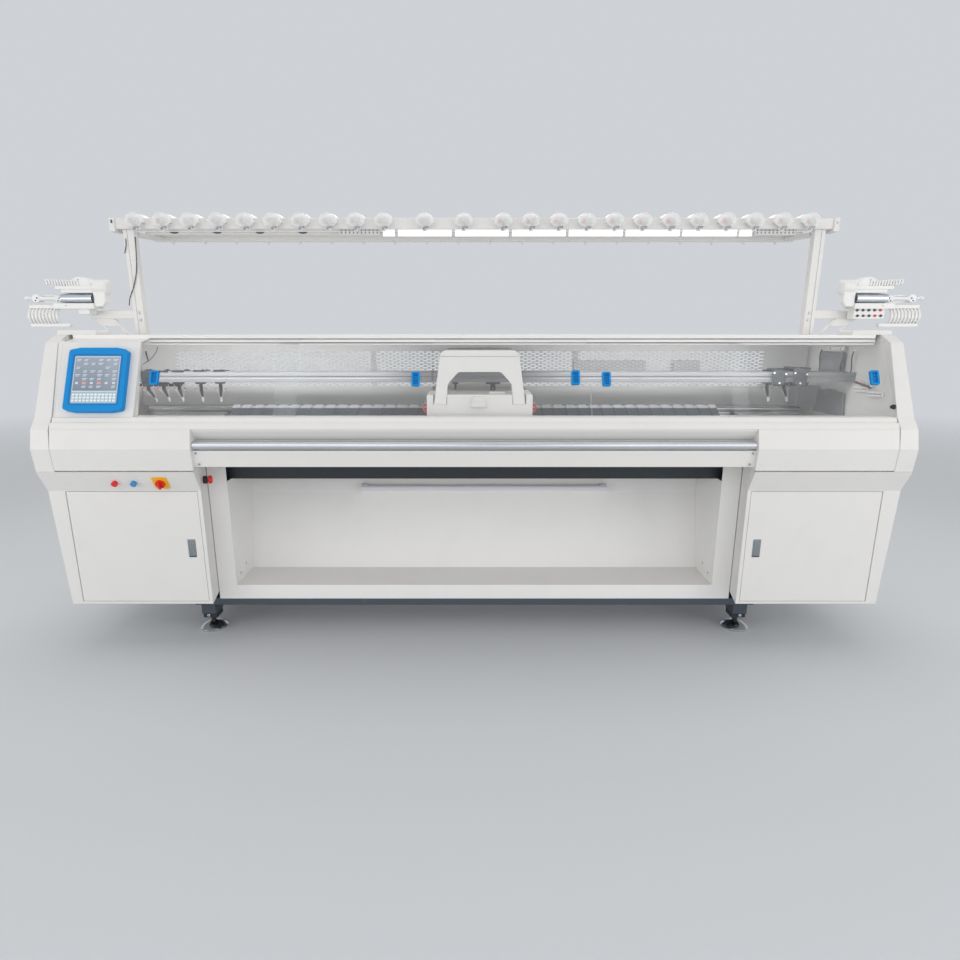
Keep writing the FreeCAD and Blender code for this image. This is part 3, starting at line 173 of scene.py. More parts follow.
paint = {
    "white": (0.760, 0.750, 0.732),
    "paintedLightWhite": (0.86, 0.852, 0.838),     # painted light: whiter than the white, so that sheets in the machine's own shade come out bright
    "cloud": 0.025,         # how much the tone drifts over a panel
    "dust": 0.045,
    "orangePeel": 0.00010,  # metres
    "roughness": 0.38,
    "foldedEdge": 0.0022,   # radius of the folded sheet's edges, metres
}


def paintedSheet(name, colour, drift=paint["cloud"]):
    # powder coat: tone drifts over a metre, a fine orange peel, dust in soft patches, rounded folds
    finish = Finish(name, Coat_Weight=0.12, Coat_Roughness=0.25)
    cloud = finish.noise(0.9, 3.0)
    grain = finish.noise(260.0, 2.0)
    patch = finish.noise(5.5, 5.0, 0.65)
    tone = (cloud * 0.7 + grain * 0.3).clamped()
    body = finish.mix(tone, shade(colour, 1 - drift), shade(colour, 1 + drift))
    dusty = ((patch - 0.48) * 2.4).clamped()
    finish.feed(Base_Color=finish.mix(dusty, body, shade(colour, 1 - paint["dust"])))
    finish.feed(Roughness=(patch * 0.22 + (paint["roughness"] - 0.10)).clamped())
    return finish.bump(grain, 0.35, paint["orangePeel"], paint["foldedEdge"]).material


def darkPaint(name, colour):
    # satin paint on welded tube: brush-out texture and scuffs
    finish = Finish(name)
    scuff = finish.noise(38.0, 8.0, 0.7)
    grain = finish.noise(180.0, 3.0)
    worn = ((scuff - 0.60) * 9.0).clamped()
    finish.feed(Base_Color=finish.mix(worn * 0.5, colour, shade(colour, 2.6)))
    finish.feed(Roughness=(scuff * 0.25 + 0.32).clamped())
    return finish.bump(grain, 0.4, 0.0003, 0.003).material


def groundSteel(name, colour, stretch, roughness, metal=1.0):
    # fine grinding lines along the piece
    finish = Finish(name, Metallic=metal)
    lines = finish.noise(420.0, 3.0, 0.6, stretch)
    stain = finish.noise(6.0, 4.0, 0.6)
    finish.feed(Base_Color=finish.mix(lines * 0.6 + stain * 0.4, shade(colour, 0.82), shade(colour, 1.12)))
    finish.feed(Roughness=(lines * 0.16 + (roughness - 0.08)).clamped())
    return finish.bump(lines, 0.5, 0.00004, 0.001).material


bedLook = {
    "dark": (0.012, 0.016, 0.022), "light": (0.070, 0.078, 0.090), "hooks": (0.42, 0.425, 0.44),
    "trickPitch": 0.0021,   # metres from needle to needle
    "hookLevel": 1.0535,    # above this height the needles' hooks shine
}


def needleSteel(name):
    # blackened bed whose bright tricks run across it, one per needle, with lint caught between them
    finish = Finish(name, Metallic=0.3, Roughness=0.45)
    x, _, z = finish.axes()
    trick = (abs(((x / bedLook["trickPitch"]) % 1.0) - 0.5) * 2.0).clamped()
    lint = finish.noise(30.0, 6.0, 0.7, (0.4, 1.0, 1.0))
    tone = (trick * 0.5 + lint * 0.5).clamped()
    hooks = ((z - bedLook["hookLevel"]) * 400.0).clamped() * (trick * 0.5 + 0.5)
    body = finish.mix(tone, bedLook["dark"], bedLook["light"])
    finish.feed(Base_Color=finish.mix(hooks, body, bedLook["hooks"]))
    finish.feed(Roughness=(lint * 0.3 + 0.32).clamped())
    return finish.bump(trick, 0.6, 0.0004).material


def mouldedPlastic(name, colour, roughness=0.34, texture=320.0, depth=0.0001, edge=0.0012, **fixed):
    # moulded surface with a fine eroded texture
    finish = Finish(name, **fixed)
    grain = finish.noise(texture, 3.0, 0.55)
    cloud = finish.noise(3.0, 3.0)
    finish.feed(Base_Color=finish.mix(cloud, shade(colour, 0.965), shade(colour, 1.035)))
    finish.feed(Roughness=(grain * 0.18 + (roughness - 0.09)).clamped())
    return finish.bump(grain, 0.3, depth, edge).material


def blackRubber(name):
    finish = Finish(name)
    grain = finish.noise(240.0, 4.0)
    finish.feed(Base_Color=finish.mix(grain, (0.014, 0.014, 0.015), (0.034, 0.034, 0.036)))
    finish.feed(Roughness=(grain * 0.2 + 0.6).clamped())
    return finish.bump(grain, 0.5, 0.0004).material


glassLook = {
    "tint": (0.86, 0.89, 0.91),
    "haze": 0.055,      # share of light the clear sheet sends back
    "smudge": 0.12,     # more where it was wiped
}


def clearSheet(name):
    # clear sheet: mostly see-through, wiped smudges leave a faint haze
    finish = Finish(name, Base_Color=glassLook["tint"], IOR=1.49)
    wipe = finish.noise(3.2, 6.0, 0.62, (1.0, 0.55, 1.6), (0.4, 0.0, 0.5))
    fine = finish.noise(24.0, 5.0, 0.7, (1.0, 0.3, 1.0), (0.0, 0.0, 0.7))
    mark = ((wipe - 0.52) * 2.6).clamped() * ((fine - 0.3) * 1.8).clamped()
    finish.feed(Alpha=(mark * glassLook["smudge"] + glassLook["haze"]).clamped())
    finish.feed(Roughness=(mark * 0.2 + 0.05).clamped())
    return finish.material


def milkyPlastic(name, colour, seen):
    # thin translucent moulding: what lies behind shows a little, denser in its flow marks
    finish = Finish(name, IOR=1.45, Coat_Weight=0.4, Coat_Roughness=0.1)
    flow = finish.noise(26.0, 4.0, 0.6)
    finish.feed(Base_Color=finish.mix(flow, shade(colour, 0.9), colour))
    finish.feed(Alpha=(flow * 0.3 + (seen - 0.15)).clamped())
    finish.feed(Roughness=(flow * 0.2 + 0.2).clamped())
    return finish.material


def litCover(name, colour, strength):
    # milky lamp cover that glows a little, with faint clouds in the moulding
    finish = Finish(name, Emission_Strength=strength)
    cloud = finish.noise(14.0, 2.0)
    finish.feed(Base_Color=finish.mix(cloud, shade(colour, 0.95), colour))
    finish.feed(Emission_Color=finish.mix(cloud, shade(colour, 0.9), colour))
    finish.feed(Roughness=(cloud * 0.15 + 0.25).clamped())
    return finish.material


screenLook = {"levels": (1.165, 1.305), "top": (0.30, 0.35, 0.42), "bottom": (0.16, 0.20, 0.26)}


def screenGlass(name):
    # display: a grey-blue picture that gets lighter upwards, behind a glossy sheet
    finish = Finish(name, Coat_Weight=1.0, Coat_Roughness=0.04, Emission_Strength=0.12)
    low, high = screenLook["levels"]
    rise = ((finish.axes()[2] - low) / (high - low)).clamped()
    cell = finish.noise(420.0, 1.0)
    tone = (rise * 0.85 + cell * 0.15).clamped()
    picture = finish.mix(tone, screenLook["bottom"], screenLook["top"])
    finish.feed(Base_Color=picture, Emission_Color=picture)
    finish.feed(Roughness=(cell * 0.1 + 0.2).clamped())
    return finish.material


stripLook = {"colour": (0.70, 0.70, 0.70), "hole": (0.10, 0.11, 0.12), "pitch": 0.019, "rowPitch": 0.012}


def perforatedStrip(name):
    # thin strip with rows of small square holes; their dark is painted shade where they open
    finish = Finish(name)
    x, _, z = finish.axes()
    across = abs(((x / stripLook["pitch"]) % 1.0) - 0.5) < 0.17
    upward = abs(((z / stripLook["rowPitch"]) % 1.0) - 0.5) < 0.24
    square = (across * upward).clamped()
    grain = finish.noise(200.0, 2.0)
    sheet = finish.mix(grain, shade(stripLook["colour"], 0.94), stripLook["colour"])
    # the squares take the hole colour: painted shade in place of the openings
    finish.feed(Base_Color=finish.mix(square, sheet, stripLook["hole"]))
    finish.feed(Roughness=(grain * 0.2 + 0.35).clamped())
    return finish.bump(1.0 - square, 0.6, 0.001).material


def makeFinishes():
    white, paleWhite = paint["white"], (0.86, 0.86, 0.85)
    lengthways, upright, even = (0.02, 1.0, 1.0), (1.0, 1.0, 0.1), (1.0, 1.0, 1.0)
    return {
        "white": paintedSheet("whitePowderCoat", white),
        # a whiter copy of the white paint: painted light for the sheets that stand in shade
        "paintedLightWhite": paintedSheet("paintedLightPowderCoat", paint["paintedLightWhite"]),
        "wall": paintedSheet("perforatedWallCoat", (0.57, 0.57, 0.566), 0.05),
        "grey": paintedSheet("greyPowderCoat", (0.30, 0.31, 0.32), 0.05),
        "shadowGrey": paintedSheet("shadowGreyCoat", (0.20, 0.21, 0.22), 0.08),
        "midGrey": paintedSheet("midGreyCoat", (0.42, 0.43, 0.44), 0.06),
        "dark": darkPaint("darkBedPaint", (0.019, 0.026, 0.032)),
        "frameRail": darkPaint("darkFramePaint", (0.062, 0.078, 0.100)),
        "carrier": darkPaint("carrierBlack", (0.022, 0.025, 0.029)),
        "bed": needleSteel("needleBedSteel"),
        "rod": groundSteel("guideRodSteel", (0.66, 0.67, 0.69), lengthways, 0.20),
        "chrome": groundSteel("chromedRoller", (0.74, 0.78, 0.83), lengthways, 0.14),
        "rail": groundSteel("anodisedRail", (0.27, 0.275, 0.285), (0.01, 1.0, 1.0), 0.46, 0.25),
        "foot": groundSteel("platedFoot", (0.62, 0.63, 0.65), upright, 0.20),
        "latch": groundSteel("latchSteel", (0.30, 0.33, 0.35), (1.0, 1.0, 0.06), 0.34),
        "screw": groundSteel("screwSteel", (0.40, 0.41, 0.43), even, 0.30),
        "rubber": blackRubber("rollerRubber"),
        "shell": mouldedPlastic("carriageShell", white, 0.42, edge=0.004),
        "cap": mouldedPlastic("whitePlastic", (0.80, 0.80, 0.79), 0.28),
        "key": mouldedPlastic("keyPlastic", paleWhite, 0.30),
        "keypad": mouldedPlastic("keypadMembrane", (0.36, 0.54, 0.66), 0.30),
        "red": mouldedPlastic("redPlastic", (0.74, 0.020, 0.016), 0.26),
        "blue": mouldedPlastic("bluePlastic", (0.006, 0.255, 0.640), 0.46, 240.0, 0.0002,
                               Specular_IOR_Level=0.2),
        # a darker copy of the blue: painted shade for hollows and recess edges in the blue mouldings
        "shadedBlue": mouldedPlastic("shadedBluePlastic", (0.010, 0.130, 0.420), 0.36),
        "paleBlue": mouldedPlastic("paleBluePlastic", (0.05, 0.28, 0.60), 0.30),
        "yellow": mouldedPlastic("yellowPlastic", (0.90, 0.46, 0.012), 0.30),
        "black": mouldedPlastic("blackPlastic", (0.016, 0.016, 0.018), 0.40),
        "graphite": mouldedPlastic("graphitePlastic", (0.060, 0.064, 0.070), 0.42),
        "label": mouldedPlastic("whiteLabel", paleWhite, 0.5),
        "icon": mouldedPlastic("screenIcon", (0.66, 0.72, 0.80), 0.3),
        "pinkIcon": mouldedPlastic("screenWarmIcon", (0.74, 0.36, 0.34), 0.3),
        "glass": clearSheet("clearSheet"),
        "milky": milkyPlastic("milkyDome", (0.84, 0.85, 0.86), 0.80),
        "veil": milkyPlastic("clearVeil", (0.88, 0.885, 0.89), 0.42),
        "redLens": milkyPlastic("redLens", (0.80, 0.10, 0.09), 0.62),
        "lamp": litCover("lampCover", (0.94, 0.95, 0.97), 0.34),
        "binLamp": litCover("binLampCover", (0.70, 0.71, 0.74), 0.05),
        "screen": screenGlass("terminalScreen"),
        "holes": perforatedStrip("perforatedStrip"),
    }


finishes = makeFinishes()
print("finishes made:", len(finishes))


# Shapes below are in millimetres from the middle, the nose and the floor, as (corners, faces)

noseLine = 440.0


def drawn(metres):
    # a place in the frame, as the shapes below give places
    return np.array(metres) * 1000 + (0, noseLine, 0)


def pointsOf(*coordinates):
    # arrays or numbers side by side as points
    return np.stack(np.broadcast_arrays(*coordinates), -1)


def loft(rings, caps=True):
    # skin through closed rings, an array (rings, points, 3): each ring is joined to the next
    rings = np.asarray(rings, float)
    count, points = rings.shape[:2]
    index = np.arange(count * points).reshape(count, points)
    ahead = np.roll(index, -1, axis=1)
    faces = pointsOf(index[:-1], ahead[:-1], ahead[1:], index[1:]).reshape(-1, 4).tolist()
    if caps:
        faces += [index[0][::-1].tolist(), index[-1].tolist()]
    return rings.reshape(-1, 3), faces


def together(shapes):
    # several shapes as one: the corner numbers of each move past those before it
    corners, faces, start = [], [], 0
    for points, polygons in shapes:
        corners.append(points)
        faces += [[k + start for k in polygon] for polygon in polygons]
        start += len(points)
    return np.concatenate(corners), faces


def repeated(shape, spots):
    # the same shape moved to every spot
    points, faces = shape
    return together([(points + spot, faces) for spot in spots])


def mirrored(shape, side):
    # the shape as drawn for the right, or turned over to the left
    points, faces = shape
    return (points, faces) if side > 0 else (points * (-1, 1, 1), [face[::-1] for face in faces])


def roundedRectangle(width, height, radius, steps=4, middle=(0, 0)):
    # four quarter circles, each about its own corner's centre
    angle = np.linspace(0, math.pi / 2, steps)
    quarter = np.arange(4)[:, None] * math.pi / 2 + angle
    sign = np.array([(1, 1), (-1, 1), (-1, -1), (1, -1)])
    centre = sign * np.array([width / 2 - radius, height / 2 - radius])
    ring = centre[:, None, :] + radius * pointsOf(np.cos(quarter), np.sin(quarter))
    return ring.reshape(-1, 2) + middle


def circle(radius, steps=24, middle=(0, 0)):
    angle = np.linspace(0, 2 * math.pi, steps, endpoint=False)
    return radius * pointsOf(np.cos(angle), np.sin(angle)) + middle


def turned(profile, steps=24):
    # profile of (radius, height) turned about the height axis
    radius, height = np.asarray(profile, float).T[:, :, None]
    angle = np.linspace(0, 2 * math.pi, steps, endpoint=False)
    return loft(pointsOf(radius * np.cos(angle), radius * np.sin(angle), height))


def placed(shape, origin, right=(1, 0, 0), up=(0, 1, 0)):
    # the shape's own x, y and z become right, up and right x up at origin
    points, faces = shape
    return points @ np.array([right, up, np.cross(right, up)], float) + np.asarray(origin, float), faces


def raised(outline, low, high, rim=0.0):
    # outline of (x, y) raised from low to high, its upper edge drawn in by rim
    outline = np.asarray(outline, float)
    middle = (outline.max(0) + outline.min(0)) / 2
    half = (outline.max(0) - outline.min(0)) / 2
    inner = middle + (outline - middle) * (1 - rim / half)
    levels = [(outline, low), (outline, high - rim)]
    if rim:
        levels.append((inner, high))
    return loft([pointsOf(*ring.T, level) for ring, level in levels])


def frontward(outline, front, back, rim=0.0):
    # outline of (x, z) carried from back to front, its front edge drawn in by rim
    points, faces = raised(outline, -back, -front, rim)
    return points[:, [0, 2, 1]] * (1, -1, 1), faces


def sideways(section, start, end):
    # outline of (y, z) carried along x
    points, faces = raised(section, start, end)
    return points[:, [2, 0, 1]], faces


def boxShape(low, high, rim=0.0):
    low, high = np.asarray(low, float), np.asarray(high, float)
    square = np.array([(0, 0), (1, 0), (1, 1), (0, 1)]) * (high - low)[:2] + low[:2]
    return raised(square, low[2], high[2], rim)


def frontDisc(spot, radius, depth, rim=1.0, steps=20):
    # a round plate that stands forward of the spot (x, y, z)
    x, y, z = spot
    return frontward(circle(radius, steps, (x, z)), y - depth, y, rim)


def tube(path, radius, steps=8):
    # a round bar along a path of points; each ring stands across the run it is on
    path = np.asarray(path, float)
    run = np.gradient(path, axis=0)
    run /= np.linalg.norm(run, axis=1)[:, None]
    guess = np.where(abs(run[:, 2:3]) < 0.9, np.array([[0, 0, 1.0]]), np.array([[1.0, 0, 0]]))
    side = np.cross(run, guess)
    side /= np.linalg.norm(side, axis=1)[:, None]
    top = np.cross(side, run)
    ring = circle(1.0, steps)
    reach = np.broadcast_to(np.asarray(radius, float), (len(path),))[:, None, None]
    around = ring[None, :, :1] * side[:, None] + ring[None, :, 1:] * top[:, None]
    return loft(path[:, None] + reach * around)


def curved(points, steps=16):
    # a smooth line through the points: cubic between neighbours, slopes from the points either side
    points = np.asarray(points, float)
    slope = np.gradient(points, axis=0)
    t = np.linspace(0, 1, steps, endpoint=False)[None, :, None]
    a, b = points[:-1, None], points[1:, None]
    m, n = slope[:-1, None], slope[1:, None]
    line = ((2 * t**3 - 3 * t**2 + 1) * a + (t**3 - 2 * t**2 + t) * m
            + (3 * t**2 - 2 * t**3) * b + (t**3 - t**2) * n)
    return np.concatenate([line.reshape(-1, 3), points[-1:]])


def ball(spot, radius, steps=10):
    # circle turned about the height axis, its poles drawn in to a small flat
    turn = np.linspace(-1.45, 1.45, 7)
    return placed(turned(radius * pointsOf(np.cos(turn), np.sin(turn)), steps), spot)


def dome(outline, base, height, steps, fullness):
    # each ring is the outline drawn in by the turn's cosine to the power fullness, and raised by its sine
    middle = (outline.max(0) + outline.min(0)) / 2
    turn = np.linspace(0, 0.47 * math.pi, steps)[:, None]
    ring = middle + (outline - middle) * (np.cos(turn) ** fullness)[:, None]
    return loft(pointsOf(ring[..., 0], ring[..., 1], base + height * np.sin(turn)))


def tiles(centres, size, low, high, rim=0.0):
    # a flat block at every centre (x, y), its top drawn in by rim
    centres = np.asarray(centres, float)[:, None]
    corner = np.array([(-1, -1), (1, -1), (1, 1), (-1, 1)]) * 0.5
    size = np.asarray(size, float).reshape(-1, 1, 2)
    wide = centres + corner * size
    slim = centres + corner * (size - 2 * rim)
    layers = ((wide, low), (wide, high - rim), (slim, high))
    blocks = np.stack([pointsOf(ring[..., 0], ring[..., 1], level) for ring, level in layers], 1)
    return together([loft(rings) for rings in blocks])


def slottedSheet(sheet):
    # cells in rows that are shifted by half in turn; a slot's rim of eight corners joins its cell's edge
    pitch, row = sheet["pitch"], sheet["rowPitch"]
    long, tall = sheet["slot"][0] / 2, sheet["slot"][1] / 2
    edge = long - tall
    arc = np.linspace(-math.pi / 2, math.pi / 2, 4)
    half = pointsOf(edge + tall * np.cos(arc), tall * np.sin(arc))
    w, h = pitch / 2, row / 2
    outer = np.array([(edge, -h), (w, -h), (w, h), (edge, h), (-edge, h), (-w, h), (-w, -h), (-edge, -h)])
    column, line = np.meshgrid(np.arange(sheet["columns"]), np.arange(sheet["rows"]))
    x = ((column - (sheet["columns"] - 1) / 2 + 0.5 * (line % 2) - 0.25) * pitch).ravel() + sheet["middle"]
    z = ((line + 0.5) * row).ravel() + sheet["low"]
    rim = np.concatenate([outer, half, -half])[None] + pointsOf(x, z)[:, None]
    front = np.insert(rim, 1, sheet["front"], axis=2)
    back = np.insert(rim, 1, sheet["front"] + sheet["thickness"], axis=2)
    k = np.arange(8)
    n = (k + 1) % 8
    cell = np.concatenate([
        pointsOf(k, n, n + 8, k + 8),
        pointsOf(k + 16, k + 24, n + 24, n + 16),
        pointsOf(k + 8, n + 8, n + 24, k + 24),
    ])
    faces = (cell[None] + 32 * np.arange(len(x))[:, None, None]).reshape(-1, 4).tolist()
    return np.concatenate([front, back], 1).reshape(-1, 3), faces


def slottedWall(sheet):
    # the slotted cells with a plain border, row by row at the ends, out to the wall's own edges
    reach = sheet["columns"] * sheet["pitch"] / 2
    line = np.arange(sheet["rows"])
    shift = (0.5 * (line % 2) - 0.25) * sheet["pitch"] + sheet["middle"]
    low = sheet["low"] + line * sheet["rowPitch"]
    high = low + sheet["rowPitch"]
    full = np.ones(len(line))
    left, right = sheet["ends"]
    top = sheet["low"] + sheet["rows"] * sheet["rowPitch"]
    spans = [(left * full, shift - reach, low, high), (shift + reach, right * full, low, high),
             ([left] * 2, [right] * 2, [sheet["bottom"], top], [sheet["low"], sheet["top"]])]
    a, b, c, d = (np.concatenate(column) for column in zip(*spans))
    flat = np.stack([pointsOf(a, c), pointsOf(b, c), pointsOf(b, d), pointsOf(a, d)], 1)
    front = np.insert(flat, 1, sheet["front"], axis=2).reshape(-1, 3)
    back = np.insert(flat[:, ::-1], 1, sheet["front"] + sheet["thickness"], axis=2).reshape(-1, 3)
    border = np.concatenate([front, back]), np.arange(8 * len(flat)).reshape(-1, 4).tolist()
    return together([slottedSheet(sheet), border])


def bodyOf(node):
    return frame["nodes"][node]["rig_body"]


def addPiece(name, shapes, finish, **options):
    points, faces = together(shapes) if isinstance(shapes, list) else shapes
    mesh = bpy.data.meshes.new(name)
    mesh.from_pydata(((points - (0, noseLine, 0)) / 1000).tolist(), [], faces)
    finishPiece(name, mesh, finish, **options)


def finishPiece(name, mesh, finish, on=None, insteadOf=None, slot=None, bevel=0.0, smooth=35.0, turn=True):
    # the piece moves with the node that it is on or stands for; slot is not used;
    # bevel is in millimetres; turn sets the faces outwards
    if turn:
        work = bmesh.new()
        work.from_mesh(mesh)
        bmesh.ops.recalc_face_normals(work, faces=work.faces)
        work.to_mesh(mesh)
        work.free()
    mesh.shade_smooth()
    mesh.set_sharp_from_angle(angle=math.radians(smooth))
    made = bpy.data.objects.new(name, mesh)
    scene.collection.objects.link(made)
    mesh.materials.append(finishes[finish])
    if bevel:
        edge = made.modifiers.new("edge", "BEVEL")
        edge.width = bevel / 1000
        edge.segments = 2
        edge.limit_method = "ANGLE"
        edge.angle_limit = math.radians(30)
        edge.harden_normals = True
    node = insteadOf or on
    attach(made, bodyOf(node) if node else "frame")
    if insteadOf:
        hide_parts(insteadOf)


def islandsOf(node):
    # the node's solids as separate meshes, the longest first, their doubles merged
    work = bmesh.new()
    work.from_mesh(frame["nodes"][node].data)
    bmesh.ops.remove_doubles(work, verts=work.verts, dist=0.00002)
    waiting, groups = set(work.verts), []
    for seed in work.verts:
        if seed not in waiting:
            continue
        waiting.discard(seed)
        group, edge = {seed}, [seed]
        while edge:
            near = {corner for link in edge.pop().link_edges for corner in link.verts} & waiting
            waiting -= near
            group |= near
            edge.extend(near)
        groups.append([corner for corner in work.verts if corner in group])
    groups.sort(key=lambda group: min(c.co.x for c in group) - max(c.co.x for c in group))
    meshes = []
    for group in groups:
        order = {corner: k for k, corner in enumerate(group)}
        faces = [[order[corner] for corner in face.verts] for face in work.faces if face.verts[0] in order]
        mesh = bpy.data.meshes.new(node)
        mesh.from_pydata([tuple(corner.co) for corner in order], [], faces)
        meshes.append(mesh)
    work.free()
    return meshes


stageLook = {
    "cameraAt": (0.0, -2.90, 1.406),
    "pitch": -13.7,          # degrees below level
    "lens": 22.84,
    "shift": 0.0059,
    "floor": (0.62, 0.64, 0.67),
    "floorReach": 30.0,
    "floorEdge": (4.5, 11.0),   # the floor fades into the backdrop between these distances
    "backdrop": (0.62, 0.64, 0.67),
    "sky": 0.56, "skyColour": (1.0, 0.995, 0.985),
    "lamps": {                  # place, width and height, power
        "key": ((-2.2, -4.6, 3.9), (4.5, 2.7), 32.0),
        "fill": ((2.8, -4.4, 3.4), (4.5, 2.7), 28.0),
        "back": ((0.0, 3.6, 4.4), (4.0, 2.4), 60.0),
        "level": ((0.0, -5.0, 1.35), (8.0, 1.6), 24.0),
        "sideLeft": ((-5.0, -3.0, 1.30), (3.5, 1.6), 46.0),
        "sideRight": ((5.0, -3.0, 1.30), (3.5, 1.6), 52.0),
        "above": ((0.0, 0.2, 5.0), (6.0, 3.0), 46.0),
        "insideLeft": ((-1.0, -0.14, 1.347), (1.3, 0.10), 7.5),
        "insideRight": ((0.90, -0.14, 1.347), (1.1, 0.10), 5.6),
    },
    "aim": (0.0, 0.0, 0.9),             # what the lamps outside shine at
    "insideAim": (0.0, 0.70, -0.60),    # the lamps inside shine back and down under the cover
}


def makeCamera():
    camera = bpy.data.objects.new("camera", bpy.data.cameras.new("camera"))
    camera.location = stageLook["cameraAt"]
    camera.rotation_euler = (math.radians(90 + stageLook["pitch"]), 0, 0)
    camera.data.lens = stageLook["lens"]
    camera.data.sensor_width = 36.0
    camera.data.shift_x = stageLook["shift"]
    camera.data.clip_end = 200.0
    scene.collection.objects.link(camera)
    scene.camera = camera
    scene.view_settings.view_transform = "Standard"


def makeFloor():
    mesh = bpy.data.meshes.new("studioFloor")
    corners = np.array([(-1, -1, 0), (1, -1, 0), (1, 1, 0), (-1, 1, 0)]) * stageLook["floorReach"]
    mesh.from_pydata(corners.tolist(), [], [(0, 1, 2, 3)])
    floor = bpy.data.objects.new("studioFloor", mesh)
    scene.collection.objects.link(floor)
    look = Finish("studioFloor", Roughness=0.75)
    near, far = stageLook["floorEdge"]
    distance = look.node("ShaderNodeVectorMath", {"operation": "LENGTH"}, {0: look.place}, "Value")
    cloud = look.noise(0.4, 2.0)
    look.feed(Base_Color=look.mix(cloud, shade(stageLook["floor"], 0.985), stageLook["floor"]))
    look.feed(Alpha=((far - distance) / (far - near)).clamped())
    mesh.materials.append(look.material)


def makeSky():
    # soft light from all round; the camera, gloss and glass see the plain backdrop instead
    world = bpy.data.worlds.new("studio")
    world.use_nodes = True
    scene.world = world
    sky = Nodes(world.node_tree)
    ray = sky.node("ShaderNodeLightPath", {}, {}).source.node.outputs
    larger = {"operation": "MAXIMUM"}
    seen = sky.node("ShaderNodeMath", larger, {0: ray["Is Camera Ray"], 1: ray["Is Glossy Ray"]})
    through = sky.node("ShaderNodeMath", larger, {0: seen, 1: ray["Is Transmission Ray"]})
    soft, pale = (sky.node("ShaderNodeBackground", {}, {"Color": stageLook[colour], "Strength": strength})
                  for colour, strength in (("skyColour", stageLook["sky"]), ("backdrop", 1.0)))
    both = sky.node("ShaderNodeMixShader", {}, {0: through, 1: soft, 2: pale})
    sky.node("ShaderNodeOutputWorld", {}, {"Surface": both})


def aimAngles(direction):
    # turn that points a lamp's -Z along the direction
    x, y, z = direction
    return (math.acos(-z / math.sqrt(x * x + y * y + z * z)), 0.0, math.atan2(y, x) - math.pi / 2)


def makeLamps():
    for name, (spot, size, power) in stageLook["lamps"].items():
        lamp = bpy.data.lights.new(name, "AREA")
        lamp.shape = "RECTANGLE"
        lamp.size, lamp.size_y = size
        lamp.energy = power
        holder = bpy.data.objects.new(name, lamp)
        holder.location = spot
        within = name.startswith("inside")
        aim = stageLook["insideAim"] if within else np.subtract(stageLook["aim"], spot)
        holder.rotation_euler = aimAngles(aim)
        holder.visible_camera, holder.visible_glossy = False, not within
        scene.collection.objects.link(holder)


def makeStage():
    makeCamera()
    makeFloor()
    makeSky()
    makeLamps()
    print("stage made")


makeStage()


nodeFinish = {
    **dict.fromkeys((
        "left_cabinet", "right_cabinet", "left_door", "right_door", "end_plates", "left_nose_housing",
        "right_nose_housing", "front_beam_cover", "window_rail", "terminal_panel", "rear_panels",
        "stand_posts", "stand_beam", "rear_guide_bar", "feeder_brackets"), "white"),
    # the bin and the top cover take the whiter copy of the white, painted light against their shade
    **dict.fromkeys(("fabric_bin", "bin_side_panels", "top_cover"), "paintedLightWhite"),
    **dict.fromkeys(("left_door_latch", "right_door_latch"), "latch"),
    **dict.fromkeys(("operating_bar", "carriage_rails"), "rod"),
    **dict.fromkeys(("front_needle_bed", "rear_needle_bed"), "bed"),
    **dict.fromkeys(("carriage_base", "carriage_cover"), "shell"),
    **dict.fromkeys(("red_button", "main_switch_knob", "emergency_stop_head"), "red"),
    **dict.fromkeys(("feeder_bodies", "feeder_combs"), "cap"),
    **dict.fromkeys(("left_feeder_roller", "right_feeder_roller"), "chrome"),
    **dict.fromkeys((f"yarn_carrier_{k}" for k in range(1, 8)), "carrier"),
    "base_frame": "frameRail", "levelling_feet": "foot", "bin_lamp": "binLamp", "electrics_boxes": "grey",
    "main_bed": "dark", "take_down_roller": "rubber", "yarn_carrier_rails": "rail", "blue_button": "paleBlue",
    "main_switch_plate": "yellow", "emergency_stop_base": "black", "terminal_bezel": "blue",
    "terminal_face": "keypad", "lamp_strip": "lamp",
}


def dressNodes():
    for node, finish in nodeFinish.items():
        materials = frame["nodes"][node].data.materials
        materials.clear()
        materials.append(finishes[finish])
    print("nodes dressed:", len(nodeFinish))


dressNodes()


rearWall = {
    "pitch": 40.5, "rowPitch": 9.0, "slot": (30.0, 6.4), "columns": 76, "rows": 20,
    "low": 1126.0, "middle": -25.0, "front": 797.0, "thickness": 2.6,
    "ends": (-1749.0, 1749.0), "bottom": 1115.0, "top": 1389.0,
    "shelf": ((741.5, 1031.6), (797.4, 1116.5), (799.8, 1115.0), (744.0, 1030.2)),
    "boxes": (((530, 800, 1182), (905, 856, 1257)), ((1050, 800, 1182), (1190, 856, 1257))),
}


def makeRearWall():
    addPiece("rearWallSheet", slottedWall(rearWall), "wall", insteadOf="rear_guard", turn=False)
    addPiece("rearWallShelf", sideways(rearWall["shelf"], *rearWall["ends"]), "wall", insteadOf="rear_guard")
    addPiece("rearWallBoxes", [boxShape(low, high, 3) for low, high in rearWall["boxes"]], "midGrey", bevel=2)
    print("rear wall made")


floorTrays = {
    "places": ((-1408.0, 5), (1456.0, 4)),                  # middle, and slots in a row
    "foot": (560.0, 988.0), "slope": (0, 0.9953, 0.0972),   # the near edge's place, and the way back
    "rows": 13, "depth": 133.0, "firstRow": 8.0, "border": 30.0, "thickness": 1.5,
    "lining": (-6.0, -4.0), "liningInset": 2.0,
}


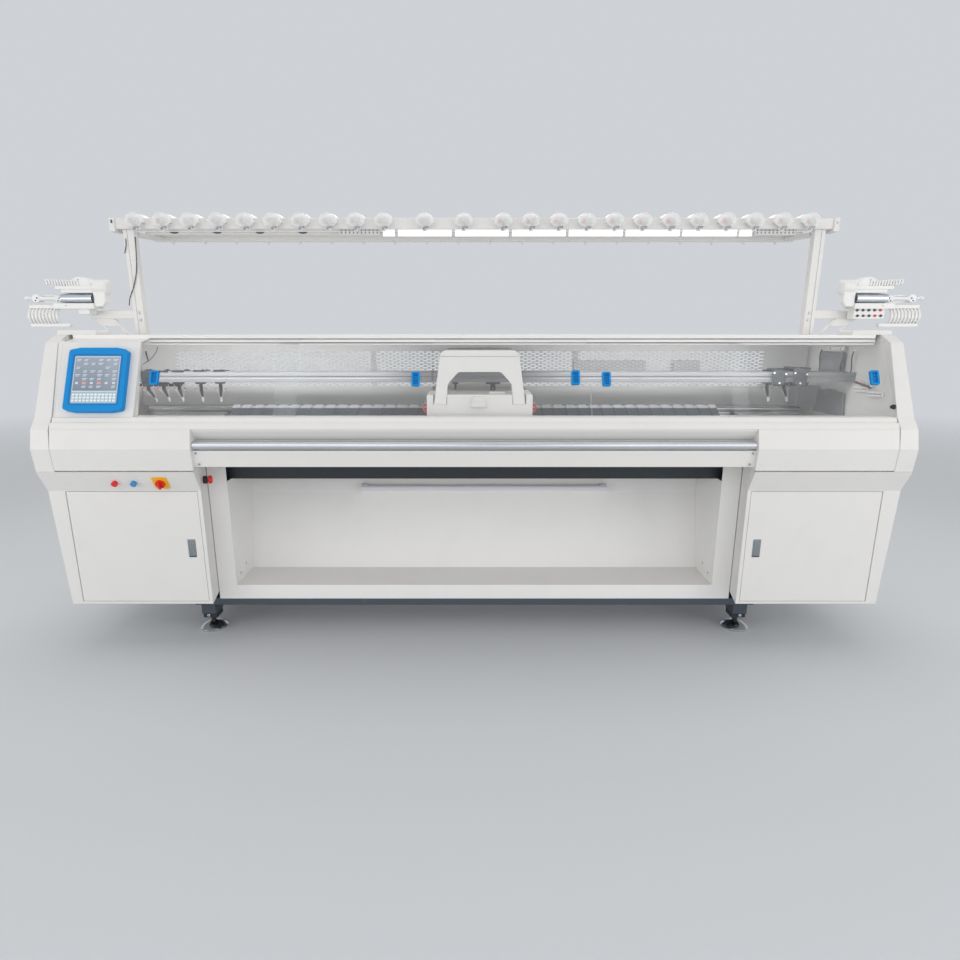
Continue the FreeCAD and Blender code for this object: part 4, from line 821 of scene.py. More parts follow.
def makeFloorTrays():
    depth, inset, slope = floorTrays["depth"], floorTrays["liningInset"], floorTrays["slope"]
    for k, (middle, columns) in enumerate(floorTrays["places"], 1):
        half = columns * rearWall["pitch"] / 2 + floorTrays["border"]
        spot = (middle, *floorTrays["foot"])
        points, faces = slottedWall({
            **rearWall, "columns": columns, "rows": floorTrays["rows"], "low": floorTrays["firstRow"],
            "middle": 0.0, "front": 0.0, "thickness": floorTrays["thickness"],
            "ends": (-half, half), "bottom": 0.0, "top": depth,
        })
        tray = points[:, [0, 2, 1]] * (1, 1, -1), faces
        addPiece(f"floorTray{k}", placed(tray, spot, up=slope), "wall", turn=False)
        sheet = roundedRectangle(2 * (half - inset), depth - 2 * inset, 3, 3, (0, depth / 2))
        lining = placed(raised(sheet, *floorTrays["lining"]), spot, up=slope)
        addPiece(f"floorTrayLining{k}", lining, "label")
    print("floor trays made")


slope = {"foot": (0.0, 57.0, 1048.0), "run": (0.0, 141.0, 314.0)}     # the front leans back as it rises
slopeUp = np.array(slope["run"]) / math.hypot(*slope["run"])


def onSlope(shape):
    # drawn flat, then laid on the sloping front: y runs up the slope and z stands out of it
    return placed(shape, slope["foot"], up=slopeUp)


windowLook = {
    "handleEdge": 1.6,
    "ribs": (4, 17.0),              # how many grip ribs, and how far the outer two are from the middle
    "rib": (7.5, 1.5, 3.2),         # half its length, half its width and its height
    "gripSunk": (0.0, 0.41, -0.18),
}


def makeWindows():
    # each pane is clear, its moulded handle blue with a few grip ribs in the hollow; the ribs take a darker
    # copy of the blue, painted shade for the hollow
    count, spread = windowLook["ribs"]
    along, across, high = windowLook["rib"]
    levels = np.linspace(-spread, spread, count)
    ribs = together([boxShape((-along, v - across, 0), (along, v + across, high), 1) for v in levels])
    for k in range(1, 6):
        node = f"window_{k}"
        pane, handle = islandsOf(node)[:2]
        middle = drawn(np.mean([corner.co for corner in handle.vertices], axis=0)) - windowLook["gripSunk"]
        finishPiece(f"window{k}Pane", pane, "glass", insteadOf=node)
        finishPiece(f"window{k}Handle", handle, "blue", insteadOf=node, slot="blue_plastic",
                    bevel=windowLook["handleEdge"])
        addPiece(f"window{k}Grip", placed(ribs, middle, up=slopeUp), "shadedBlue", on=node, slot="blue_plastic")
    print("windows made")


terminal = {
    "ends": (-1672.0, -1486.0), "levels": (69.5, 270.4),    # of the face, along the slope
    "face": 22.0, "clear": 0.05,                            # how far the face stands out, and a gap over it
    "keys": (12, 3), "keySize": (11.2, 9.2), "keyPitch": 13.0, "firstKey": 8.0, "keyHeight": 2.3,
    "screen": (121.0, 266.0), "trim": 1.4,
    "icons": (6, 8), "warmIcons": (1, 3), "iconInset": 16.0, "iconHeight": (0.95, 1.1),
    "bezelEdge": 5.0, "bezelLine": ((14, 6), (22, 9)), "lineHeight": (23.9, 24.3),
    "panelEdge": ((-1749.2, 13), (-1749.2, 343), (-1769.5, 343), (-1753.0, 13)),
    "panelCorner": ((-1749.2, 341), (-1749.2, 352), (-1771.5, 352), (-1769.3, 341)),
}


def makeTerminalFace():
    (left, right), (low, high), face = terminal["ends"], terminal["screen"], terminal["face"]
    middle, level, width, over = (left + right) / 2, (low + high) / 2, right - left, face + terminal["clear"]
    columns, rows = terminal["keys"]
    column, row = np.meshgrid(np.arange(columns), np.arange(rows))
    x = left + (column.ravel() + 0.5) * width / columns
    v = terminal["levels"][0] + terminal["firstKey"] + row.ravel() * terminal["keyPitch"]
    keys = tiles(pointsOf(x, v), terminal["keySize"], face, face + terminal["keyHeight"], 0.8)
    addPiece("terminalKeys", onSlope(keys), "key", on="terminal_face")
    glass = raised(roundedRectangle(width - 4, high - low, 3, 4, (middle, level)), over, face + 0.9, 0.3)
    addPiece("terminalScreen", onSlope(glass), "screen", on="terminal_face")
    # width, height and middle of each strip round the screen
    strips = ((width, 3.4, (middle, low - 3.2)), (width, 2.6, (middle, high + 2.6)),
              (2.4, high - low + 10, (left - 1.0, level)), (2.4, high - low + 10, (right + 1.0, level)))
    rims = [raised(roundedRectangle(w, h, 1, 3, spot), over, face + terminal["trim"], 0.5)
            for w, h, spot in strips]
    addPiece("terminalFrame", onSlope(together(rims)), "cap", on="terminal_face")


def makeTerminalPicture():
    # plain rows of blocks: wide pairs in most rows, small squares in the lowest but one
    (left, right), (low, high), inset = terminal["ends"], terminal["screen"], terminal["iconInset"]
    columns, rows = terminal["icons"]
    plain, warm = [], []
    for r, v in enumerate(np.linspace(low + inset, high - inset + 4, rows)):
        for c, x in enumerate(np.linspace(left + inset, right - inset, columns)):
            if r == 1 and c in terminal["warmIcons"]:
                warm.append((x, v, 17.0, 11.0))
            elif r == 1:
                plain.append((x, v, 12.0, 9.0))
            elif (c + 2 * r) % 4 and not (r == rows - 3 and c % 2):
                plain.append((x, v + 3.0, 21.0 - 3 * ((c + r) % 3), 3.4))
                plain.append((x - 2.0, v - 2.6, 15.0, 2.8))
    under, over = (terminal["face"] + height for height in terminal["iconHeight"])
    for name, blocks, finish in (("terminalIcons", plain, "icon"), ("terminalWarmIcons", warm, "pinkIcon")):
        blocks = np.array(blocks)
        addPiece(name, onSlope(tiles(blocks[:, :2], blocks[:, 2:], under, over)), finish, on="terminal_face")


def makeTerminal():
    makeTerminalFace()
    makeTerminalPicture()
    (left, right), (low, high) = terminal["ends"], terminal["levels"]
    middle = (left + right) / 2, (low + high) / 2
    inner, outer = (roundedRectangle(right - left + out, high - low + out, radius, 5, middle)
                    for out, radius in terminal["bezelLine"])
    under, over = terminal["lineHeight"]
    rings = ((inner, under), (inner, over), (outer, over), (outer, under), (inner, under))
    line = loft([pointsOf(*ring.T, level) for ring, level in rings], False)
    # the bezel's recess edge as a ring of the darker blue: painted shade
    addPiece("terminalBezelLine", onSlope(line), "shadedBlue", on="terminal_bezel")
    bezel = islandsOf("terminal_bezel")[0]
    finishPiece("terminalBezel", bezel, "blue", insteadOf="terminal_bezel", bevel=terminal["bezelEdge"])
    # the panel's outer edge runs up to the leaning end plate
    edge = together([raised(terminal["panelEdge"], -3, 0), raised(terminal["panelCorner"], -14, -1)])
    addPiece("terminalPanelEdge", onSlope(edge), "white", on="terminal_panel")
    print("terminal made")


carriage = {
    "ends": (-203.0, 249.0), "boxEdge": 2.5,
    "feelerAt": (187.0, 1085.0), "feelerOut": 9.0,
    "wedges": ((33, 1096), (30, 1106.5), (27, 1117)), "wedgeMiddle": 19.0,  # half width and foot of each step
    "wedgeDepth": (124.4, 128.0),
    "saddle": ((72, 20), (100, 225), (1142.8, 1151)),                       # size, middle and levels
    # seam: a painted shade strip along the bridge's crease, and how it leans
    "seam": ((-146, 226.2, 1301.2), (192, 227.6, 1302.8)), "creaseShadeLean": 0.43,
}


def feeler(side, x, y, z):
    # a wire loop, its plug and a ball in red; a second ball on a grey pin
    turn = np.linspace(0.2, 1.75 * math.pi, 14)
    loop = pointsOf(x + side - side * 10 * np.cos(turn), y, z + 11 * np.sin(turn))
    plug = tube([(x - side, y, z - 22), (x - side, y, z - 10)], (6.5, 4.0), 10)
    pin = tube([(x, y, z + 10), (x, y, z + 20)], 2.6)
    red = [tube(loop, 3.8), plug, ball((x + side * 4, y - 2, z - 12), 6.0)]
    return red, [ball((x, y - 1, z + 20), 6.5), pin]


def makeCarriage():
    for k, mesh in enumerate(islandsOf("carriage_base")[:2], 1):
        finishPiece(f"carriageBox{k}", mesh, "shell", insteadOf="carriage_base", bevel=carriage["boxEdge"])
    finishPiece("carriageBridge", islandsOf("carriage_cover")[0], "shell", insteadOf="carriage_cover")
    left, right = carriage["ends"]
    out = carriage["feelerOut"]
    pairs = [feeler(side, x, *carriage["feelerAt"]) for side, x in ((-1, left - out), (1, right + out))]
    addPiece("carriageFeelers", pairs[0][0] + pairs[1][0], "red", insteadOf="carriage_base")
    addPiece("carriageFeelerPins", pairs[0][1] + pairs[1][1], "screw", insteadOf="carriage_base")
    front, back = carriage["wedgeDepth"]
    steps = [frontward(np.array([(-w, 0), (w, 0), (w - 1.2, 9), (1.2 - w, 9)]) + (carriage["wedgeMiddle"], z),
                       front + 0.5 * k, back, 0.6) for k, (w, z) in enumerate(carriage["wedges"])]
    addPiece("carriageWedgeSteps", steps, "shell", on="carriage_base")
    (width, depth), middle, levels = carriage["saddle"]
    saddle = raised(roundedRectangle(width, depth, 4, 4, middle), *levels, 2)
    addPiece("carriageSaddle", saddle, "shell", on="carriage_base")
    # a mid-grey strip along the bridge's crease: painted shade where its top turns down into the front
    points, faces = boxShape(*carriage["seam"])
    points[:, 1] += (points[:, 2] - 1302) * carriage["creaseShadeLean"] - 0.9
    addPiece("carriageCreaseShade", (points, faces), "midGrey", on="carriage_base")
    print("carriage made")


carriers = {
    "rows": (379, 401, 419, 440, 459, 480, 499),    # how far each arm hangs behind the nose
    "firstTip": 439.5, "tipStep": 3.0,
    "wire": 0.9, "bead": 3.4, "tipDepth": 1.2,
    "tip": ((7.0, 0.77, 1104), (6.5, 1.0, 1092), (2.4, 1.0, 1080.5)),   # half width, share of the lean, level
    "heads": ((6, 364.5, 1231.6), (7, 353.5, 1239.0)),                  # carrier, head's front, bar's level
    "headLine": ((-33, 1228), (-33, 1204), (-24, 1174), (-8, 1164), (18, 1166), (30, 1186), (31, 1228)),
    "headThickness": 8.5, "headScrews": ((-28, 1222), (26, 1216), (0, 1176)),
}


def carrierMiddle(node):
    low, high = drawn(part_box(node))
    return (low[0] + high[0]) / 2


def makeCarriers():
    # every carrier has two spring wires with a red bead, and a clear tip that the yarn leaves by;
    # wires and tip lean as the arm does, so that carriers may pass each other
    for k, near in enumerate(carriers["rows"], 1):
        node = f"yarn_carrier_{k}"
        x = carrierMiddle(node)
        lean = carriers["firstTip"] + carriers["tipStep"] * (k - 1) - near
        wires, beads = [], []
        for side in (-1, 1):
            bend = side * (1 + 0.12 * math.sin(2.1 * k + side))
            line = [(x + side * 23, near, 1184), (x + 24 * bend, near, 1150),
                    (x + 15 * bend, near + 0.31 * lean, 1128), (x + side * 7, near + 0.69 * lean, 1108)]
            wires.append(tube(curved(line, 6), carriers["wire"], 6))
            beads.append(ball((x + 23.5 * bend, near, 1147 + 5 * math.sin(k)), carriers["bead"], 8))
        addPiece(f"carrier{k}Wires", wires, "label", on=node)
        addPiece(f"carrier{k}Beads", beads, "red", on=node)
        plate = frontward(roundedRectangle(46, 12, 2, 3, (x, 1171)), near - 4.2, near + 4.2, 0.8)
        addPiece(f"carrier{k}Clamp", plate, "graphite", on=node)
        corner = np.array([(-1, -1), (1, -1), (1, 1), (-1, 1)])
        tip = loft([pointsOf(*(corner * (w, carriers["tipDepth"]) + (x, near + share * lean)).T, z)
                    for w, share, z in carriers["tip"]])
        addPiece(f"carrier{k}Tip", tip, "milky", on=node)
    makeCarrierHeads()
    print("yarn carriers made")


def makeCarrierHeads():
    # the two on the right have a drive head in front of the rails, held by a bar over them
    thick = carriers["headThickness"]
    for k, front, bar in carriers["heads"]:
        node, near = f"yarn_carrier_{k}", carriers["rows"][k - 1]
        x = carrierMiddle(node)
        head = [frontward(np.array(carriers["headLine"]) + (x, 0), front, front + thick, 1.5),
                boxShape((x - 34, front, 1226), (x + 34, front + thick, bar - 0.2), 1),
                boxShape((x - 9, front + 2, bar - 0.4), (x + 9, near + 4, bar + 4.4), 0.8),
                boxShape((x - 9, near - 4, 1228.5), (x + 9, near + 4, bar + 1))]
        rib = boxShape((-27, front - 1.4, 1190), (-22, front + 0.4, 1220), 0.5)
        head.append(repeated(rib, pointsOf(x + 11 * np.arange(5), 0, 0)))
        addPiece(f"carrier{k}Head", head, "graphite", on=node)
        studs = [frontDisc((x + dx, front - 0.1, z), 4.4, 1.8, 0.6, 12) for dx, z in carriers["headScrews"]]
        addPiece(f"carrier{k}HeadScrews", studs, "label", on=node)


behindRails = {
    "cable": (-1610.0, -1170.0, 526.5, 1216.0), "ties": 5,          # both ends, distance and level
    "stopBar": ((-1748.8, 524, 1146), (-1425, 540, 1160)),
    "stops": ((90.0, 35.0, 1128.0), (-92.0, 15.0, 1120.0)),         # middle, half width and foot
    "driveHeads": ((1452, 1528, 1232), (1540, 1618, 1236)),         # both sides and the top
    "driveScrews": ((1470, 1212), (1510, 1208), (1556, 1214), (1600, 1206)),
}


def makeBehindRails():
    # an uneven bundle of cables tied along the back of the rearmost carrier rail
    start, end, y, z = behindRails["cable"]
    x = np.linspace(start, end, 56)
    sway = 3.0 * np.sin(x * 0.071) + 2.0 * np.sin(x * 0.19 + 1.0)
    bundle = tube(pointsOf(x, y, z + sway), 8.5 + 1.2 * np.sin(x * 0.13) + 0.8 * np.sin(x * 0.41))
    ties = [tube(pointsOf((tie, tie + 7), y, z + 3 * math.sin(tie * 0.071)), 10.6, 10)
            for tie in np.linspace(start + 40, end - 60, behindRails["ties"])]
    addPiece("cableBand", [bundle] + ties, "black")
    addPiece("stopBar", boxShape(*behindRails["stopBar"], 2), "graphite", bevel=1.5)
    stops, dots = [], []
    for middle, half, foot in behindRails["stops"]:
        stem = roundedRectangle(half * 0.7, 1166 - foot, 3, 3, (middle, (1166 + foot) / 2))
        stops.append(frontward(roundedRectangle(2 * half, 26, 3, 3, (middle, 1172)), 516.3, 524, 1))
        stops.append(frontward(stem, 517.5, 523, 1))
        dots.append(frontDisc((middle, 517.4, foot + 9), 3.2, 1.2, 0.4, 12))
    addPiece("railStops", stops, "graphite")
    addPiece("railStopScrews", dots, "label")
    # drive heads on the right, each a housing with a cap, ribs and a pulley
    heads = []
    for left, right, top in behindRails["driveHeads"]:
        rib = boxShape((left + 8, 514.8, 1160), (left + 13, 517, 1205), 0.6)
        heads += [boxShape((left, 516.4, 1150), (right, 590, top - 8), 4),
                  boxShape((left - 5, 518, top - 8), (right + 5, 586, top), 3),
                  repeated(rib, pointsOf(14 * np.arange(5), 0, 0)),
                  frontward(circle(15, 20, ((left + right) / 2, 1180)), 518, 530, 2)]
    addPiece("driveHeads", heads, "graphite", bevel=1.2)
    screws = [frontDisc((x, 516.2, z), 4.5, 2.0, 0.7, 12) for x, z in behindRails["driveScrews"]]
    addPiece("driveHeadScrews", screws, "screw")
    print("rail fittings made")


endWall = {
    "at": 1748.8,
    "box": (1642, (650, 738), (1033, 1137)),        # how far in it reaches, its depth and its levels
    "panel": ((412, 1012), (668, 1012), (668, 1110), (560, 1132), (430, 1122)), "panelIn": 1739.0,
    "recess": (1743.5, (474, 668), (1204, 1310)),
    "plate": (1741.0, (474, 612), (1317, 1336)), "plateHoles": (500, 586),
    "leads": ((664, 8), (478, -7), (398, 6)),       # distance and sway
    "comb": (236, 344, 12), "combLevel": 1176.0, "combClimb": 0.13,
    "labels": ((158, 258, 1134), (264, 362, 1146)),
    "knob": ((10, 0), (10, 6), (7.5, 7), (7.5, 13), (6, 14.5)), "knobAt": (76, 1101),
    "railScrews": (1627, 1706, -1706),
    "arcLead": ((-1651, 793, 1328), (-1668, 792, 1296), (-1702, 793, 1262), (-1743, 793, 1238)),
    "strap": ((-1718, 794, 1306), (-1716, 794, 1284), (-1711, 794, 1252)),
    "strapWidth": (3.2, 3.4, 3.6, 3.8, 4.0, 3.8, 3.6, 3.6, 3.4, 3.4, 3.2, 3.0, 2.8),
}


def turnedAlong(profile, steps, spot, way=1):
    # profile turned about a line along x, its height running outwards, or inwards where way is -1
    return placed(turned(profile, steps), spot, (0, 1, 0), (0, 0, way))


def onEndWall(part, rim):
    # a block on the right end wall, from how far in it reaches, its depth and its levels
    inner, (near, far), (low, high) = endWall[part]
    return boxShape((inner, near, low), (endWall["at"], far, high), rim)


def makeEndWalls():
    at = endWall["at"]
    addPiece("endBox", onEndWall("box", 4), "grey", bevel=2.5)
    addPiece("endWallPanel", sideways(endWall["panel"], endWall["panelIn"], at), "shadowGrey", bevel=2)
    addPiece("endWallRecess", onEndWall("recess", 1.5), "shadowGrey", bevel=1.5)
    addPiece("endWallPlate", onEndWall("plate", 1.2), "cap", bevel=1)
    # the plate's two holes are black rings: painted shade in the openings
    dots = [turnedAlong([(3.2, 0), (3.2, 1.6), (2.4, 2.2)], 10, (1741.2, y, 1326), -1)
            for y in endWall["plateHoles"]]
    addPiece("endWallPlateHoleShades", dots, "black")
    leads = [((1744, y, 1318), (1742, y + sway, 1290), (1741, y - sway / 2, 1245), (1744, y + 2, 1208))
             for y, sway in endWall["leads"]]
    addPiece("endWallLeads", [tube(curved(lead, 5), 2.6, 6) for lead in leads], "black")
    # yarn comb beside the last window: a tilted bar with teeth and red guides
    y = np.linspace(*endWall["comb"])
    spots = pointsOf(0, y, endWall["combLevel"] + (y - y[0]) * endWall["combClimb"])
    tooth = placed(raised(roundedRectangle(4, 26, 1.5, 3), 0, 11), (1748.5, 0, 6), (0, -1, 0), (0, 0, 1))
    addPiece("combBar", tube(spots[[0, -1]] + (1741, 0, -8), 6), "graphite")
    addPiece("combTeeth", repeated(tooth, spots), "cap")
    addPiece("combBeads", repeated(ball((1735.5, 0, -4), 2.6, 8), spots[::2]), "red")
    labels = [sideways([(a, low), (b, low - 8), (b, low + 17), (a, low + 20)], 1744, at)
              for a, b, low in endWall["labels"]]
    addPiece("endWallLabels", labels, "label", bevel=0.6)
    lines = [sideways([(a + 4, low + 9), (b - 4, low + 3), (b - 4, low + 5.4), (a + 4, low + 11.4)],
                      1743.2, 1744.2) for a, b, low in endWall["labels"]]
    addPiece("endWallLabelLines", lines, "graphite")
    addPiece("endWallKnob", turnedAlong(endWall["knob"], 20, (at, *endWall["knobAt"]), -1), "black")
    screws = [frontDisc((x, 384.02, 1186), 6.0, 0.17, 0.05, 16) for x in endWall["railScrews"]]
    addPiece("railScrews", screws, "screw")
    addPiece("leftArcLead", tube(curved(endWall["arcLead"], 8), 1.6, 6), "graphite")
    addPiece("leftStrap", tube(curved(endWall["strap"], 6), endWall["strapWidth"]), "black")
    print("end walls made")


tensioners = {
    "groups": ((10, -1601.0, -428.0), (2, -234.0, -50.0), (12, 135.0, 1584.0)),     # how many, first and last
    "capSize": (84.0, 142.0), "capMiddle": (0.0, 677.5), "capBase": 1906.0, "capHeight": 43.8,
    "face": 608.5,
    "shield": ((-24, 1928), (24, 1928), (22, 1912), (13, 1884), (8, 1866),
               (-8, 1866), (-13, 1884), (-22, 1912)),
    "veil": (44.0, 1908.0, 40.5), "veilFoot": ((-38, 1896), (-22, 1886), (22, 1886), (38, 1896)),
    "veilDepth": (601.3, 603.1),
    "plate": ((26, 52), (3, 1900), (618, 635)),     # size, middle and depth
    "lensAt": (-14.0, 1907.0), "lensesFrom": 60.0,  # right of this the lens shows, left of it a coil
    "discs": ((4, 1890), (15, 1884), (-3, 1877)), "pins": ((8, 1912), (19, 1903)),
}


def makeTensioners():
    face, (x, z) = tensioners["face"], tensioners["lensAt"]
    places = np.concatenate([np.linspace(first, last, count) for count, first, last in tensioners["groups"]])
    spots = pointsOf(places, 0, 0)
    right = places > tensioners["lensesFrom"]

    def add(name, shape, finish, where=spots, **options):
        addPiece("tensioner" + name, repeated(shape, where), finish, insteadOf="yarn_tensioners", **options)

    outline = roundedRectangle(*tensioners["capSize"], 40, 5, tensioners["capMiddle"])
    add("Domes", dome(outline, tensioners["capBase"], tensioners["capHeight"], 7, 0.62), "cap", smooth=50)
    # clear shield down the beam's front, with the spindle plate behind it
    add("Shields", frontward(tensioners["shield"], face + 1, face + 5, 1.5), "milky")
    # thin clear veil over the front: an upper half ellipse that narrows to its foot
    half, level, rise = tensioners["veil"]
    arc = np.linspace(0, math.pi, 15)
    veil = np.concatenate([pointsOf(half * np.cos(arc), level + rise * np.sin(arc)), tensioners["veilFoot"]])
    add("Veils", frontward(veil, *tensioners["veilDepth"], 0.6), "veil")
    (width, height), middle, depth = tensioners["plate"]
    add("Plates", frontward(roundedRectangle(width, height, 6, 4, middle), *depth, 2), "cap")
    # on the right half the lens is a full red patch, on the left only its coiled rim shows
    add("Lenses", frontward(circle(11, 18, (x, z)), face - 4.5, face - 1, 2.5), "redLens", spots[right])
    spin = np.linspace(0, 2.6 * math.pi, 20)
    reach = 9 - spin * 0.5
    coil = pointsOf(x - 6 + reach * np.cos(spin), face - 2.2, z + 4 + reach * np.sin(spin))
    add("Coils", tube(coil, 1.1, 5), "red", spots[~right])
    add("Hubs", frontward(circle(5.5, 14, (x - 6, z + 4)), face - 3.5, face + 1, 1.2), "cap", spots[~right])
    # red feeler wire, a zigzag from the hub over the discs
    swing = np.linspace(0, 1, 15)
    wire = pointsOf(x - 10 + 44 * swing, face - 2 + 1.2 * np.sin(9 * swing),
                    z + 6 - 26 * swing + 5 * np.sin(17 * swing))
    add("Wires", tube(wire, 0.9, 5), "red")
    discs = [frontward(circle(6.5, 14, spot), face - 3 + 2.2 * k, face - 1.6 + 2.2 * k, 0.4)
             for spot in tensioners["discs"] for k in range(2)]
    add("Discs", together(discs), "screw")
    pins = [frontward(circle(2.4, 8, spot), face - 4.2, face - 2, 0.5) for spot in tensioners["discs"]]
    pins += [frontward(circle(2.0, 8, spot), face - 3.5, face, 0.5) for spot in tensioners["pins"]]
    add("Pins", together(pins), "graphite")
    print("tensioners made:", len(places))


stand = {
    "beam": ((-1716, 635, 1880), (1716, 705, 1928)),
    "block": ((1705, 627, 1867), (1731, 705.4, 1928.4)),
    "post": (1628.0, 1680.0), "postSeam": 1661.0, "postDepth": (648.0, 684.0), "postLevels": (1392.0, 1880.0),
    "strips": (((-649, 661, 1857), (-455, 679, 1879.8)), ((1349, 661, 1857), (1539, 679, 1879.8))),
    "tray": ((-1600, 705.2, 1874), (1600, 851.8, 1877)),
    "trayLip": ((-1600, 705.2, 1865), (1600, 707.7, 1874)),
    "notches": (1460.0, 15), "notch": (22.0, 8.0, 1876.5),
    "screws": ((1650.0, 1495.0), (1647.0, 1461.0)),
    "lead": ((-1624.6, 650, 1846), (-1625.4, 645.4, 1790), (-1634, 644.6, 1700), (-1656, 644.6, 1625),
             (-1682, 644.6, 1570), (-1693, 645.2, 1530)),
    "shortLead": ((-1668, 644.6, 1838), (-1671, 644.6, 1806), (-1682, 644.6, 1772)),
    "arm": ((1676, 1467), (1893, 1467), (1893, 1505), (1676, 1509)),
    "plate": ((1759, 1431), (1846, 1431), (1891, 1468), (1786, 1468)),
    "braces": (((1716.6, 1392.4), (1730, 1392.4), (1760, 1431.5), (1785, 1463), (1774, 1464)),
               ((1808, 1412.4), (1825, 1412.4), (1847, 1432), (1830, 1432))),
}


def bothSides(shapes):
    # shapes drawn for the right, then turned over to the left
    return [mirrored(shape, side) for side in (-1, 1) for shape in shapes]


def makeStand():
    addPiece("standBeam", boxShape(*stand["beam"]), "white", insteadOf="stand_beam", bevel=3)
    ends = bothSides([boxShape(*stand["block"])])
    addPiece("standBeamEnds", ends, "white", insteadOf="stand_beam", bevel=2)
    # each post is two folded halves that meet in a groove down its face
    (near, far), seam = stand["post"], stand["postSeam"]
    (front, back), (low, high) = stand["postDepth"], stand["postLevels"]
    halves = [boxShape((a, front, low), (b, back, high)) for a, b in ((near, seam - 1), (seam + 1, far))]
    groove = boxShape((seam - 1.2, front + 2, low), (seam + 1.2, back - 2, high))
    addPiece("standPosts", bothSides(halves + [groove]), "white", insteadOf="stand_posts", bevel=1.5)
    addPiece("standStrips", [boxShape(a, b, 1) for a, b in stand["strips"]], "holes", on="lamp_strip")
    # the tray between the beam and the rear guide bar, with half-round notches at its front edge, drawn as
    # dark half discs: painted shade in the notches
    addPiece("standTray", [boxShape(*stand["tray"]), boxShape(*stand["trayLip"])], "white", bevel=1)
    arc = np.linspace(0, math.pi, 9)
    reach, count = stand["notches"]
    wide, deep, level = stand["notch"]
    notch = frontward(pointsOf(wide * np.cos(arc), level - deep * np.sin(arc)), 703.6, 705.4)
    addPiece("standNotchShades", repeated(notch, pointsOf(np.linspace(-reach, reach, count), 0, 0)), "graphite")
    # a dark rounded patch at the beam's left end: painted shade in its notch
    addPiece("standEndNotchShade", frontward(roundedRectangle(9, 15, 2, 3, (-1716, 1912)), 626.2, 628), "graphite")
    heads = [frontDisc((side * x, 648, z), 7.0, 3.2, 0.9, 6) for side in (-1, 1) for x, z in stand["screws"]]
    addPiece("standScrews", heads + [frontDisc((1718, 627, 1906), 4.0, 2.0, 0.6, 12)], "screw")
    leads = [tube(curved(stand["lead"], 8), 2.1, 6), tube(curved(stand["shortLead"], 8), 1.8, 6)]
    addPiece("postLeads", leads, "graphite")
    # feeder brackets: arm, plate under it and two braces down to the machine
    arm = frontward(stand["arm"], 652, 688)
    sheets = [frontward(stand["plate"], 654, 664)] + [frontward(brace, 655, 667) for brace in stand["braces"]]
    addPiece("feederBracketArms", bothSides([arm]), "white", insteadOf="feeder_brackets", bevel=3)
    addPiece("feederBracketPlates", bothSides(sheets), "white", insteadOf="feeder_brackets", bevel=2)
    print("stand made")


feeders = {
    "knobs": ((2007.0, 17.5), (2116.0, 20.0)), "knobLevel": 1561.0,     # place and radius
    "motor": ((1760, 612, 1613), 36.0, 64.0, 14.0),                     # place, radius, length and rounding
    "hood": (1889.0, 61.0, 1608.0, 53.0),
    "cheek": ((1770, 1598), (1770, 1544), (1788, 1522), (1828, 1522), (1828, 1598)),
    "blocks": (((1808, 630, 1514), (2004, 642, 1618)), ((1826, 577, 1512), (2020, 642, 1538)),
               ((2020, 598, 1514), (2152, 642, 1531)), ((1826, 582, 1602), (2004, 640, 1618)),
               ((1826, 586, 1586), (1978, 640, 1603))),     # back plate, ledges and shelf
    "foot": ((1858, 1486), (1912, 1486), (1912, 1514), (1858, 1514)),
    "pin": ((3, -24), (6, -22), (6, 6), (9.5, 9), (9.5, 21), (6, 26)),
    "ribs": (2014.0, 16.8, 9), "rib": (48.0, 626.0, 1477.0),    # first, pitch and count; radius and middle
    "strip": (1960.0, 1436.0, 17.0),
    "teeth": (1896.0, 13.4, 12), "toothLevel": 1628.0, "climb": 0.06,
    "dialPanel": ((1832, 588, 1465), (1980, 643, 1519.5)), "dials": (5, 2), "warmDials": ((0, 4), (1, 3)),
    "roller": (1836.0, 1986.0, 20.0), "rollerAxis": (600.0, 1561.0),
    "ring": ((23.5, 0), (23.5, 3), (20, 4.2), (9, 4.2)), "ringAt": 1830.2,
}


def feederBody():
    # motor, hood, cheek, foot, back plate and the ledges round the roller, for the right side
    spot, radius, length, rounding = feeders["motor"]
    turn = np.linspace(0, 0.5 * math.pi, 6)
    bend = pointsOf(radius - rounding + rounding * np.cos(turn), rounding - rounding * np.sin(turn))
    motor = turnedAlong(np.concatenate([[(radius, length)], bend, [(2, 0)]]), 28, spot)
    arc = np.linspace(0, math.pi, 17)
    x, wide, z, high = feeders["hood"]
    hood = frontward(pointsOf(x + wide * np.cos(arc), z + high * np.sin(arc)), 592, 654, 7)
    cheek, foot = frontward(feeders["cheek"], 584, 616, 3), frontward(feeders["foot"], 590, 655, 2)
    return [motor, hood, cheek, foot] + [boxShape(*block) for block in feeders["blocks"]]


def feederArm():
    # two round heads joined by a waisted link, two rods behind it, and the pin at the far end
    z = feeders["knobLevel"]
    (near, small), (far, large) = feeders["knobs"]
    link = ((near + 8, z + 13), (near + 26, z + 7), (far - 28, z + 7), (far - 8, z + 15), (far - 8, z - 13),
            (far - 30, z - 5), (near + 26, z - 5), (near + 8, z - 12))
    rods = (((1990, z - 24), (far + 10, z - 18), (far + 6, z - 8), (1990, z - 14)),
            ((1962, z + 16), (2060, z + 18), (far + 4, z + 16), (far + 4, z + 8), (1962, z + 8)))
    return [frontDisc((near, 610, z), small, 9, 2.5, 28), frontDisc((far, 610, z), large, 9, 2.5, 28),
            frontward(link, 603, 612, 1.5), *(frontward(rod, 622, 634, 2) for rod in rods),
            turnedAlong(feeders["pin"], 16, (far + 33, 612, z + 1))]


